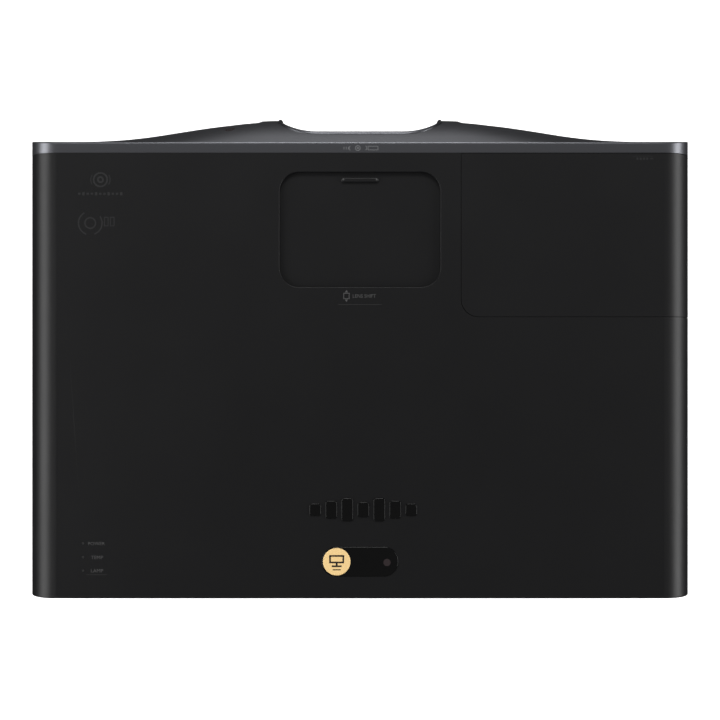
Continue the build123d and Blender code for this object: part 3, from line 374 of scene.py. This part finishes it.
# ---------------------------------------------------------------- lens bezel
# A funnel moulded in smooth black ABS, its rounded rim a millimetre proud of the fascia and lacquered like
# it. Its throat runs back from the rounded square mouth to a circle that clears the shifting lens.
def bezel_rows(inset, proud):
    """The mouth's outline moved in by inset, laid proud of (or, if negative, behind) the swollen front."""
    return on_swell(mouth_outline(inset), -proud)


throat_mouth = bezel_rows(3.2, -1.6)
spoke = throat_mouth[:, [0, 2]] - (0, CASE_MIDDLE)
spoke /= np.linalg.norm(spoke, axis=1, keepdims=True)
throat_end = np.stack([46 * spoke[:, 0], np.full(len(spoke), -131.5), CASE_MIDDLE + 46 * spoke[:, 1]], -1)
share = np.linspace(0, 1, 15)[1:, None, None]
throat = throat_mouth + (throat_end - throat_mouth) * share
turned_back = throat_end + np.stack([3 * spoke[:, 0], np.zeros(len(spoke)), 3 * spoke[:, 1]], -1)
rim_profile = np.concatenate(
    [
        bezel_rows(0.25, -3.0)[None],
        rounded_lip(bezel_rows(0.25, -0.4), bezel_rows(0.25, 1.0), bezel_rows(1.5, 1.0), 5),
    ]
)
bezel_profile = np.concatenate(
    [
        bezel_rows(1.5, 1.0)[None],
        rounded_lip(bezel_rows(1.6, 0.98), bezel_rows(2.7, 0.9), throat_mouth, 6),
        throat,
        turned_back[None],
        (turned_back + (0, -8, 0))[None],
    ]
)
smooth_abs, shader = new_material("smooth_black_abs", "#0d0d0e", Roughness=0.3, IOR=1.5)
# a polished tool still leaves a faint orange peel about 3 mm across
peel = pattern(smooth_abs, "ShaderNodeTexNoise", {"Scale": 330.0, "Detail": 1.0})
relief = add_node(
    smooth_abs, "ShaderNodeBump", {"Strength": 0.08, "Distance": 0.0001}, {"Height": peel.outputs["Fac"]}
)
smooth_abs.node_tree.links.new(relief.outputs["Normal"], shader.inputs["Normal"])
bezel = add_surface("bezel_funnel", [(bezel_profile, True, False)], smooth_abs, 50.0)
rim = add_surface("bezel_rim", [(rim_profile, True, False)], gunmetal, 50.0)
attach(rim, "chassis")
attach(bezel, "chassis")
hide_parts("lens_bezel")
finish_nodes(smooth_abs, "front_louvre_left", "front_louvre_right", "dial_tray")

# ---------------------------------------------------------------- lens
# Aluminium barrel and front cell, turned and black anodised, with two ribbed rubber rings, one to zoom and
# one to focus. The front element is coated optical glass, which reflects faint violet.
anodised, shader = new_material("black_anodised_aluminium", "#1b1b1d", Roughness=0.34, Metallic=0.6)
# turning marks run round the lens axis, each 0.4 mm wide
turned_marks = pattern(
    anodised,
    "ShaderNodeTexWave",
    {"bands_direction": "Y", "Scale": 400.0, "Distortion": 0.4, "Detail": 1.0},
)
relief = add_node(
    anodised,
    "ShaderNodeBump",
    {"Strength": 0.15, "Distance": 0.00004},
    {"Height": turned_marks.outputs["Fac"]},
)
anodised.node_tree.links.new(relief.outputs["Normal"], shader.inputs["Normal"])
finish_nodes(anodised, "lens_barrel", "front_lens_cell")

ring_rubber, shader = new_material("nitrile_rubber", "#161616", Roughness=0.72)
bloom = pattern(ring_rubber, "ShaderNodeTexNoise", {"Scale": 900.0, "Detail": 4.0})
tone = blend(ring_rubber, bloom.outputs["Fac"], "#121212", "#1d1d1d")
ring_rubber.node_tree.links.new(tone.outputs[2], shader.inputs["Base Color"])
finish_nodes(ring_rubber, "zoom_ring", "focus_ring", "rear_feet")

coated_glass, shader = new_material("coated_optical_glass", "#b9c2e6", Roughness=0.02, IOR=1.6)
shader.inputs["Transmission Weight"].default_value = 1.0
shader.inputs["Specular Tint"].default_value = linear("#b79cff")
finish_nodes(coated_glass, "front_lens")

# ---------------------------------------------------------------- printing on the top
# Functional marks are pad printed in grey ink: the lens shift label behind the door, the names of the status
# lights, symbols on the fascia strip, and two wordless seals. A grey dot at each end of the door's ridge is a
# painted highlight, standing for glints on the ridge's rounded ends.
TOP_Z, RIDGE_DROP = 143.0, 1.04
ink, shader = new_material("grey_pad_printing_ink", "#3a3a3a", Roughness=0.6)
# ink lies a little thin over the moulding's grain, some 0.5 mm across
thin = pattern(ink, "ShaderNodeTexNoise", {"Scale": 2000.0, "Detail": 2.0})
cover = blend(ink, thin.outputs["Fac"], "#2f2f2f", "#454545")
ink.node_tree.links.new(cover.outputs[2], shader.inputs["Base Color"])


def ring_print(x, y, inner, outer, start=0.0, end=360.0, lift=0.05):
    """Flat ring or part of one on the top: radius runs across it and angle, in degrees, along it."""
    angle = np.radians(np.linspace(start, end, max(8, int(abs(end - start) / 8)) + 1))
    radius = np.array([[inner], [outer]])
    across, along = x + radius * np.cos(angle), y + radius * np.sin(angle)
    return np.stack([across, along, np.full((2, len(angle)), TOP_Z + lift)], -1)


def bar_print(x, y, end_x, end_y, width, lift=0.05):
    """Flat bar on the top from one point to another."""
    along = np.array([end_x - x, end_y - y])
    side = np.array([-along[1], along[0]]) / np.linalg.norm(along) * width / 2
    corners = np.array([[(x, y) - side, (end_x, end_y) - side], [(x, y) + side, (end_x, end_y) + side]])
    return np.concatenate([corners, np.full((2, 2, 1), TOP_Z + lift)], -1)


def box_print(x, y, wide, deep, line, lift=0.05):
    """Flat rectangular outline about a point."""
    sign = np.array([(1, 1), (-1, 1), (-1, -1), (1, -1), (1, 1)])
    outer = (x, y) + sign * (wide / 2, deep / 2)
    inner = (x, y) + sign * (wide / 2 - line, deep / 2 - line)
    return np.concatenate([np.stack([inner, outer]), np.full((2, 5, 1), TOP_Z + lift)], -1)


def wedge_print(x, y, half, tall, lift=0.05):
    """Flat triangle, its base centred on (x, y) and its tip away along Y by tall, which may be negative."""
    corners = np.array([[(x - half, y), (x + half, y)], [(x - 0.05, y + tall), (x + 0.05, y + tall)]])
    return np.concatenate([corners, np.full((2, 2, 1), TOP_Z + lift)], -1)


def face_along(piece, axis):
    """Turns round those faces of a flat piece that look against an axis (0 for X, 2 for Z)."""
    work = bmesh.new()
    work.from_mesh(piece.data)
    bmesh.ops.reverse_faces(work, faces=[face for face in work.faces if face.normal[axis] < 0])
    work.to_mesh(piece.data)
    work.free()


def print_on_top(name, shapes, material=ink, body="chassis"):
    """One printed piece from several flat shapes, riding on the case or on the body named."""
    piece = add_surface(name, [(shape, False, False) for shape in shapes], material)
    face_along(piece, 2)
    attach(piece, body)
    return piece


def word_on_top(name, word, x, y, wide, tall, lift=0.05, material=ink):
    """A printed word, read from behind the projector's front, fitted to a width and height about a point."""
    curve = bpy.data.curves.new(name, "FONT")
    curve.body = word
    curve.resolution_u = 3
    source = bpy.data.objects.new(name, curve)
    mesh = bpy.data.meshes.new_from_object(source)
    bpy.data.objects.remove(source)
    points = np.zeros(len(mesh.vertices) * 3)
    mesh.vertices.foreach_get("co", points)
    points = points.reshape(-1, 3)
    small, large = points.min(0), points.max(0)
    unit = (points - (small + large) / 2) / (large - small + (0, 0, 1))
    placed = np.stack([x - unit[:, 0] * wide, y - unit[:, 1] * tall, np.full(len(unit), TOP_Z + lift)], -1)
    mesh.vertices.foreach_set("co", (placed * MM).ravel())
    mesh.update()
    mesh.materials.clear()
    mesh.materials.append(material)
    piece = bpy.data.objects.new(name, mesh)
    bpy.context.scene.collection.objects.link(piece)
    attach(piece, "chassis")
    return piece


word_on_top("print_lens_shift", "LENS SHIFT", -3.2, -41.5, 17.0, 2.6)
print_on_top(
    "print_lens_shift_marks",
    [
        box_print(10.0, -41.5, 4.6, 4.6, 0.6),
        wedge_print(10.0, -44.1, 1.2, -1.8),
        wedge_print(10.0, -38.9, 1.2, 1.8),
    ],
)
# two grey dots at the ends of the door's ridge are painted highlights, standing for glints on its rounded
# ends
print_on_top(
    "painted_ridge_glints",
    [ring_print(x, -127.6, 0.0, 0.7, lift=-RIDGE_DROP) for x in (12.3, -12.3)],
    body="lens_shift_door",
)
# names of the status lights, one beside each
word_on_top("print_power", "POWER", 194.4, 141.2, 12.2, 2.4)
word_on_top("print_temp", "TEMP", 194.0, 151.4, 9.0, 2.4)
word_on_top("print_lamp", "LAMP", 194.0, 161.2, 9.0, 2.4)

line_ink, _ = new_material("thin_grey_ink", "#202020", Roughness=0.55)
print_on_top("print_shift_line", [bar_print(16.0, -35.2, -16.0, -35.2, 0.28)], line_ink)
print_on_top("print_status_line", [bar_print(202.0, 164.1, 186.6, 164.1, 0.28)], line_ink)

faint_ink, _ = new_material("faint_grey_ink", "#111213", Roughness=0.5)
print_on_top(
    "print_round_seal",
    [
        ring_print(191.5, -127.3, 4.4, 5.6),
        ring_print(191.5, -127.3, 1.2, 2.6),
        ring_print(191.5, -127.3, 6.8, 7.4, 150, 210),
        ring_print(191.5, -127.3, 6.8, 7.4, -30, 30),
    ]
    + [
        bar_print(208.0 - 3.1 * k, -116.9, 206.2 - 3.1 * k, -116.9, 1.5 + 0.9 * (k % 3 == 1))
        for k in range(11)
    ],
    faint_ink,
)
print_on_top(
    "print_arc_seal",
    [
        ring_print(199.0, -95.3, 8.2, 9.2, -60, 70),
        ring_print(199.0, -95.3, 8.2, 9.2, 110, 215),
        ring_print(199.0, -95.3, 3.4, 4.4),
    ]
    + [box_print(187.2 - 4.4 * k, -96.4, 3.4, 7.0, 0.7) for k in range(2)],
    faint_ink,
)
strip_ink, _ = new_material("faint_strip_ink", "#57585a", Roughness=0.5)
print_on_top(
    "print_strip_symbols",
    [
        box_print(-9.6, -150.6, 7.8, 3.2, 0.55),
        ring_print(-3.2, -150.6, 1.5, 2.1, 120, 240),
        ring_print(1.6, -150.6, 1.4, 2.1, 0, 360),
        ring_print(1.6, -150.6, 0.0, 0.8, 0, 360),
        ring_print(6.2, -150.6, 1.5, 2.1, -60, 60),
        bar_print(8.6, -151.6, 8.6, -149.6, 0.6),
        bar_print(10.2, -151.6, 10.2, -149.6, 0.6),
        bar_print(11.8, -151.6, 11.8, -149.6, 0.6),
    ],
    strip_ink,
)
print_on_top(
    "print_lamp_cover_arrow",
    [bar_print(-204.0 - 2.4 * k, -142.8, -205.4 - 2.4 * k, -142.8, 1.6) for k in range(4)]
    + [bar_print(-201.0, -144.6, -216.0, -144.6, 0.25), bar_print(-214.0, -142.8, -216.4, -142.8, 0.8)],
    faint_ink,
)

# ---------------------------------------------------------------- maker's mark
# In place of any name stands a plain row of seven upright pads, polished black ABS bonded to the cover, like
# the bars of a level meter. Their edges are rounded, so they catch a thin line of light.
def raised_pad(x, y, wide, deep, corner, tall, edge=0.35, base=TOP_Z):
    """Rounded pad: its outline carried up a wall, round a quarter circle at the edge and to the middle."""
    turn = np.radians(np.linspace(0, 90, 5))
    insets = np.concatenate([[0], edge * (1 - np.cos(turn)), [edge + 0.4]])
    heights = np.concatenate([[0], tall - edge + edge * np.sin(turn), [tall]])
    rows = []
    for inset, height in zip(insets, heights):
        w, d = wide / 2 - inset, deep / 2 - inset
        outline = rounded_outline([(-w, -d), (w, -d), (w, d), (-w, d)], [max(corner - inset, 0.05)] * 4, 12)
        rows.append(np.concatenate([outline + (x, y), np.full((len(outline), 1), base + height)], -1))
    rows.append(np.broadcast_to([x, y, base + tall], rows[0].shape))
    return np.stack(rows)


piano_black, shader = new_material("polished_black_abs", "#020202", Roughness=0.12, IOR=1.5)
shader.inputs["Specular IOR Level"].default_value = 0.42
# fingers and dust haze the polish in patches about 20 mm across
haze = pattern(piano_black, "ShaderNodeTexNoise", {"Scale": 50.0, "Detail": 3.0})
dulled = add_node(
    piano_black,
    "ShaderNodeMapRange",
    {"From Min": 0.4, "From Max": 0.75, "To Min": 0.08, "To Max": 0.2},
    {"Value": haze.outputs["Fac"]},
)
piano_black.node_tree.links.new(dulled.outputs["Result"], shader.inputs["Roughness"])
mark_deep = [9.0, 13.0, 17.0, 11.0, 17.0, 13.0, 9.0]
MARK_FIRST_X, MARK_PITCH, MARK_Y = 33.0, 11.8, 116.2
mark_pads = [
    raised_pad(MARK_FIRST_X - MARK_PITCH * k, MARK_Y, 8.4, deep, 1.8, 0.8) for k, deep in enumerate(mark_deep)
]
mark = add_surface("maker_mark_pads", [(pad, True, False) for pad in mark_pads], piano_black)
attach(mark, "chassis")

# ---------------------------------------------------------------- badge
# A pill of polished black ABS set in a shallow pocket. One end carries a coined disc of gold aluminium with a
# printed screen symbol, the other a smoked window over the remote control's receiver.
finish_nodes(piano_black, "badge_plate", "keypad_bezel")
gold, shader = new_material("gold_anodised_aluminium", "#efcf91", Roughness=0.42, Metallic=0.2)
# fine satin blast, about 0.1 mm; drawn at 0.8 mm so that it shows
blast = pattern(gold, "ShaderNodeTexNoise", {"Scale": 1250.0, "Detail": 3.0})
satin = blend(gold, blast.outputs["Fac"], "#e8be7a", "#f8dca2")
gold.node_tree.links.new(satin.outputs[2], shader.inputs["Base Color"])
finish_nodes(gold, "badge_disc")
brown_ink, _ = new_material("brown_black_ink", "#140d07", Roughness=0.5)
DISC_LIFT = 0.95
print_on_top(
    "print_disc_symbol",
    [
        box_print(17.2, 152.6, 11.0, 6.0, 1.2, DISC_LIFT),
        bar_print(17.2, 155.6, 17.2, 157.2, 1.4, DISC_LIFT),
        bar_print(20.8, 157.8, 13.6, 157.8, 1.2, DISC_LIFT),
        bar_print(20.2, 160.4, 14.2, 160.4, 0.7, DISC_LIFT),
    ],
    brown_ink,
)
smoked, _ = new_material("smoked_acrylic", "#2a2324", Roughness=0.25, IOR=1.49)
finish_nodes(smoked, "remote_windows")
light_pipe, _ = new_material("frosted_acrylic", "#282828", Roughness=0.4, IOR=1.49)
finish_nodes(light_pipe, "status_lights")

# ---------------------------------------------------------------- dials under the door
# Two grooved thumb dials of grey PC/ABS in a black well. Arrows printed on the floor of the well say which
# way each one moves the picture.
dial_plastic, shader = new_material("grey_pc_abs", "#4a4b4d", Roughness=0.45, IOR=1.55)
# fine moulded texture, about 0.4 mm
stipple = pattern(dial_plastic, "ShaderNodeTexVoronoi", {"Scale": 2500.0})
relief = add_node(
    dial_plastic,
    "ShaderNodeBump",
    {"Strength": 0.2, "Distance": 0.00005},
    {"Height": stipple.outputs["Distance"]},
)
dial_plastic.node_tree.links.new(relief.outputs["Normal"], shader.inputs["Normal"])
finish_nodes(dial_plastic, "vertical_shift_dial", "horizontal_shift_dial")
WELL_FLOOR = 128.5 - TOP_Z + 0.05


def arrow_print(x, y, towards_x, towards_y, lift):
    """A shaft with two strokes for its head, pointing towards an offset."""
    tip = np.array([x + towards_x, y + towards_y])
    along = np.array([towards_x, towards_y]) / np.hypot(towards_x, towards_y)
    side = np.array([-along[1], along[0]])
    head = [tip - 2.2 * along + 2.2 * way * side for way in (-1, 1)]
    return [bar_print(x, y, *tip, 0.8, lift)] + [bar_print(*end, *tip, 0.8, lift) for end in head]


DIAL_X = 28
print_on_top(
    "print_dial_arrows",
    arrow_print(DIAL_X, -71, 0, 7, WELL_FLOOR)
    + arrow_print(DIAL_X, -119, 0, -7, WELL_FLOOR)
    + arrow_print(-DIAL_X + 3, -68, 7, 0, WELL_FLOOR)
    + arrow_print(-DIAL_X - 3, -68, -7, 0, WELL_FLOOR),
)

# ---------------------------------------------------------------- keypad
# Seven hard keys of satin black ABS stand through a polished strip on the side. Each key's symbol is a thin
# print in pale grey.
key_plastic, shader = new_material("satin_black_abs", "#1a1a1b", Roughness=0.38, IOR=1.5)
# fingers polish the keys in soft spots about 4 mm across
worn = pattern(key_plastic, "ShaderNodeTexNoise", {"Scale": 250.0, "Detail": 2.0})
polish = add_node(
    key_plastic,
    "ShaderNodeMapRange",
    {"From Min": 0.35, "From Max": 0.7, "To Min": 0.28, "To Max": 0.44},
    {"Value": worn.outputs["Fac"]},
)
key_plastic.node_tree.links.new(polish.outputs["Result"], shader.inputs["Roughness"])
KEYS = ("power", "up", "left", "ok", "right", "down", "menu")
finish_nodes(key_plastic, *(f"{key}_button" for key in KEYS))
KEY_FACE_X, KEY_LINE_Y = 245.9, 163.2
pale_ink, shader = new_material("pale_grey_ink", "#b9babc", Roughness=0.55)
# the ink is thinner where the pad lifted, in specks of about 0.3 mm
specks = pattern(pale_ink, "ShaderNodeTexNoise", {"Scale": 3000.0, "Detail": 2.0})
shade = blend(pale_ink, specks.outputs["Fac"], "#a4a5a7", "#c8c9cb")
pale_ink.node_tree.links.new(shade.outputs[2], shader.inputs["Base Color"])


def print_on_key(key, along_y, z, shapes):
    """Flat shapes drawn about a point on a key's outer face, riding on that key."""
    grids = []
    for shape in shapes:
        outer = np.full(shape.shape[:2], KEY_FACE_X + 0.04)
        flat = np.stack([outer, KEY_LINE_Y + along_y + shape[..., 0], z + shape[..., 1]], -1)
        grids.append((flat, False, False))
    piece = add_surface(f"print_{key}_key", grids, pale_ink)
    face_along(piece, 0)
    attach(piece, f"{key}_button")



KEY_MIDDLE_Z = 82.5
print_on_key("power", 0, 112, [ring_print(0, 0, 2.0, 2.6, 125, 415), bar_print(0, 0.6, 0, 3.0, 0.6)])
print_on_key("up", 0, 90.5, [bar_print(-1.3, -0.7, 0.1, 0.8, 0.45), bar_print(1.3, -0.7, -0.1, 0.8, 0.45)])
print_on_key("down", 0, 74.5, [bar_print(-1.3, 0.7, 0.1, -0.8, 0.45), bar_print(1.3, 0.7, -0.1, -0.8, 0.45)])
for key, way in (("left", -1), ("right", 1)):
    strokes = [bar_print(-0.6 * way, 1.3 * end, 0.8 * way, -0.1 * end, 0.45) for end in (1, -1)]
    print_on_key(key, 6.4 * way, KEY_MIDDLE_Z, strokes)
print_on_key("ok", 0, KEY_MIDDLE_Z, [ring_print(0, 0, 0.9, 1.4)])
print_on_key("menu", 0, 54, [bar_print(-2.2, step, 2.2, step, 0.5) for step in (-1.4, 0, 1.4)])

# ---------------------------------------------------------------- rear sockets
# Signal sockets in tinned steel shells, audio and serial sockets and the mains inlet in black PBT, all let in
# to the rear panel. The fans and the colour wheel's motor are of the same PBT.
tinned, shader = new_material("tinned_steel", "#b4b5b4", Roughness=0.34, Metallic=1.0)
# rolling lines along the sheet, each about 0.5 mm wide
rolled = pattern(
    tinned,
    "ShaderNodeTexWave",
    {"bands_direction": "X", "Scale": 300.0, "Distortion": 3.0, "Detail": 2.0},
)
gloss = add_node(
    tinned, "ShaderNodeMapRange", {"To Min": 0.28, "To Max": 0.42}, {"Value": rolled.outputs["Fac"]}
)
tinned.node_tree.links.new(gloss.outputs["Result"], shader.inputs["Roughness"])
finish_nodes(tinned, "hdmi_sockets", "usb_sockets", "lan_socket")

pbt, shader = new_material("black_pbt", "#111112", Roughness=0.55, IOR=1.52)
# glass-filled resin shows faint streaks some 2 mm long
streaks = pattern(pbt, "ShaderNodeTexNoise", {"Scale": 500.0, "Detail": 4.0})
tone = blend(pbt, streaks.outputs["Fac"], "#0d0d0e", "#19191b")
pbt.node_tree.links.new(tone.outputs[2], shader.inputs["Base Color"])
finish_nodes(
    pbt,
    "serial_socket",
    "audio_jacks",
    "ac_inlet",
    "exhaust_fan_frame",
    "intake_fan_frame",
    "exhaust_fan_rotor",
    "intake_fan_rotor",
    "color_wheel_motor",
)

# ---------------------------------------------------------------- screws and feet
# Black-oxide screws hold the panels, and zinc-plated studs carry the front feet, whose wheels are rubber.
black_oxide, shader = new_material("black_oxide_steel", "#202022", Roughness=0.4, Metallic=0.8)
# the driver rubs the oxide off in specks of about 0.5 mm
rubbed = pattern(black_oxide, "ShaderNodeTexNoise", {"Scale": 2000.0, "Detail": 3.0})
bare = add_node(
    black_oxide,
    "ShaderNodeMapRange",
    {"From Min": 0.3, "From Max": 0.8, "To Min": 0.3, "To Max": 0.5},
    {"Value": rubbed.outputs["Fac"]},
)
black_oxide.node_tree.links.new(bare.outputs["Result"], shader.inputs["Roughness"])
finish_nodes(black_oxide, "case_screws", "lamp_cover_screw")
finish_nodes(ring_rubber, "foot_wheel_left", "foot_wheel_right")

zinc, shader = new_material("zinc_plated_steel", "#9fa1a3", Roughness=0.32, Metallic=1.0)
# plating spangle, about 3 mm across
spangle = pattern(zinc, "ShaderNodeTexVoronoi", {"Scale": 330.0})
dulled = add_node(
    zinc, "ShaderNodeMapRange", {"To Min": 0.26, "To Max": 0.42}, {"Value": spangle.outputs["Distance"]}
)
zinc.node_tree.links.new(dulled.outputs["Result"], shader.inputs["Roughness"])
finish_nodes(zinc, "foot_stud_left", "foot_stud_right", "shift_frame")

# ---------------------------------------------------------------- light engine
# Die-cast aluminium housing, heatsink and lens carriage. The colour wheel has four dichroic glass segments
# about its hub, and the light rod and the lamp's burner are glass and quartz.
cast, shader = new_material("die_cast_aluminium", "#8d8f91", Roughness=0.5, Metallic=0.9)
# cast skin, mottled over about 2 mm
skin_noise = pattern(cast, "ShaderNodeTexNoise", {"Scale": 500.0, "Detail": 3.0})
relief = add_node(
    cast, "ShaderNodeBump", {"Strength": 0.3, "Distance": 0.0001}, {"Height": skin_noise.outputs["Fac"]}
)
cast.node_tree.links.new(relief.outputs["Normal"], shader.inputs["Normal"])
finish_nodes(cast, "engine_housing", "mirror_chip_heatsink", "shift_carriage")

dichroic, shader = new_material("dichroic_glass", "#8090c0", Roughness=0.08, IOR=1.5)
place = add_node(dichroic, "ShaderNodeTexCoord")
# the four segments are told apart by which side of the hub's two centre planes a point lies on
WHEEL_HUB = (-0.1157, -0.087, 0.087)
hub = add_node(
    dichroic,
    "ShaderNodeVectorMath",
    {"operation": "SUBTRACT", 1: WHEEL_HUB},
    {0: place.outputs["Object"]},
)
sides = add_node(dichroic, "ShaderNodeSeparateXYZ", links={"Vector": hub.outputs["Vector"]})
ahead = add_node(dichroic, "ShaderNodeMath", {"operation": "GREATER_THAN", 1: 0.0}, {0: sides.outputs["Y"]})
above = add_node(dichroic, "ShaderNodeMath", {"operation": "GREATER_THAN", 1: 0.0}, {0: sides.outputs["Z"]})
red_green = blend(dichroic, ahead.outputs["Value"], "#c03a2c", "#2f9a4a")
blue_yellow = blend(dichroic, ahead.outputs["Value"], "#2d55c4", "#d8c23a")
segments = add_node(
    dichroic,
    "ShaderNodeMix",
    {"data_type": "RGBA"},
    {0: above.outputs["Value"], 6: red_green.outputs[2], 7: blue_yellow.outputs[2]},
)
dichroic.node_tree.links.new(segments.outputs[2], shader.inputs["Base Color"])
finish_nodes(dichroic, "color_wheel")

clear_glass, shader = new_material("borosilicate_glass", "#e8ecec", Roughness=0.03, IOR=1.47)
shader.inputs["Transmission Weight"].default_value = 1.0
finish_nodes(clear_glass, "light_rod")

frosted_quartz, _ = new_material("quartz_burner", "#f1f2f4", Roughness=0.2, IOR=1.46)
finish_nodes(frosted_quartz, "lamp_bulb")

pps, shader = new_material("grey_pps", "#26272a", Roughness=0.6, IOR=1.6)
# filled resin flows in pale bands about 8 mm wide
flow = pattern(
    pps,
    "ShaderNodeTexWave",
    {"bands_direction": "Z", "Scale": 20.0, "Distortion": 6.0, "Detail": 2.0},
)
tone = blend(pps, flow.outputs["Fac"], "#212225", "#2d2e32")
pps.node_tree.links.new(tone.outputs[2], shader.inputs["Base Color"])
finish_nodes(pps, "lamp_housing")

# ---------------------------------------------------------------- boards
# Glass-epoxy boards under green solder mask, with tracks showing through it as paler lines.
solder_mask, shader = new_material("green_solder_mask", "#123c22", Roughness=0.32, IOR=1.5)
# tracks drawn as the joints of a brick pattern, half a millimetre wide on cells of about 12 mm
board_colours = {"Color1": linear("#123c22"), "Color2": linear("#164628"), "Mortar": linear("#2c6a3e")}
tracks = pattern(solder_mask, "ShaderNodeTexBrick", {"Scale": 80.0, "Mortar Size": 0.04, **board_colours})
solder_mask.node_tree.links.new(tracks.outputs["Color"], shader.inputs["Base Color"])
finish_nodes(solder_mask, "main_board", "mirror_chip_board", "power_supply", "lamp_ballast", "keypad_board")
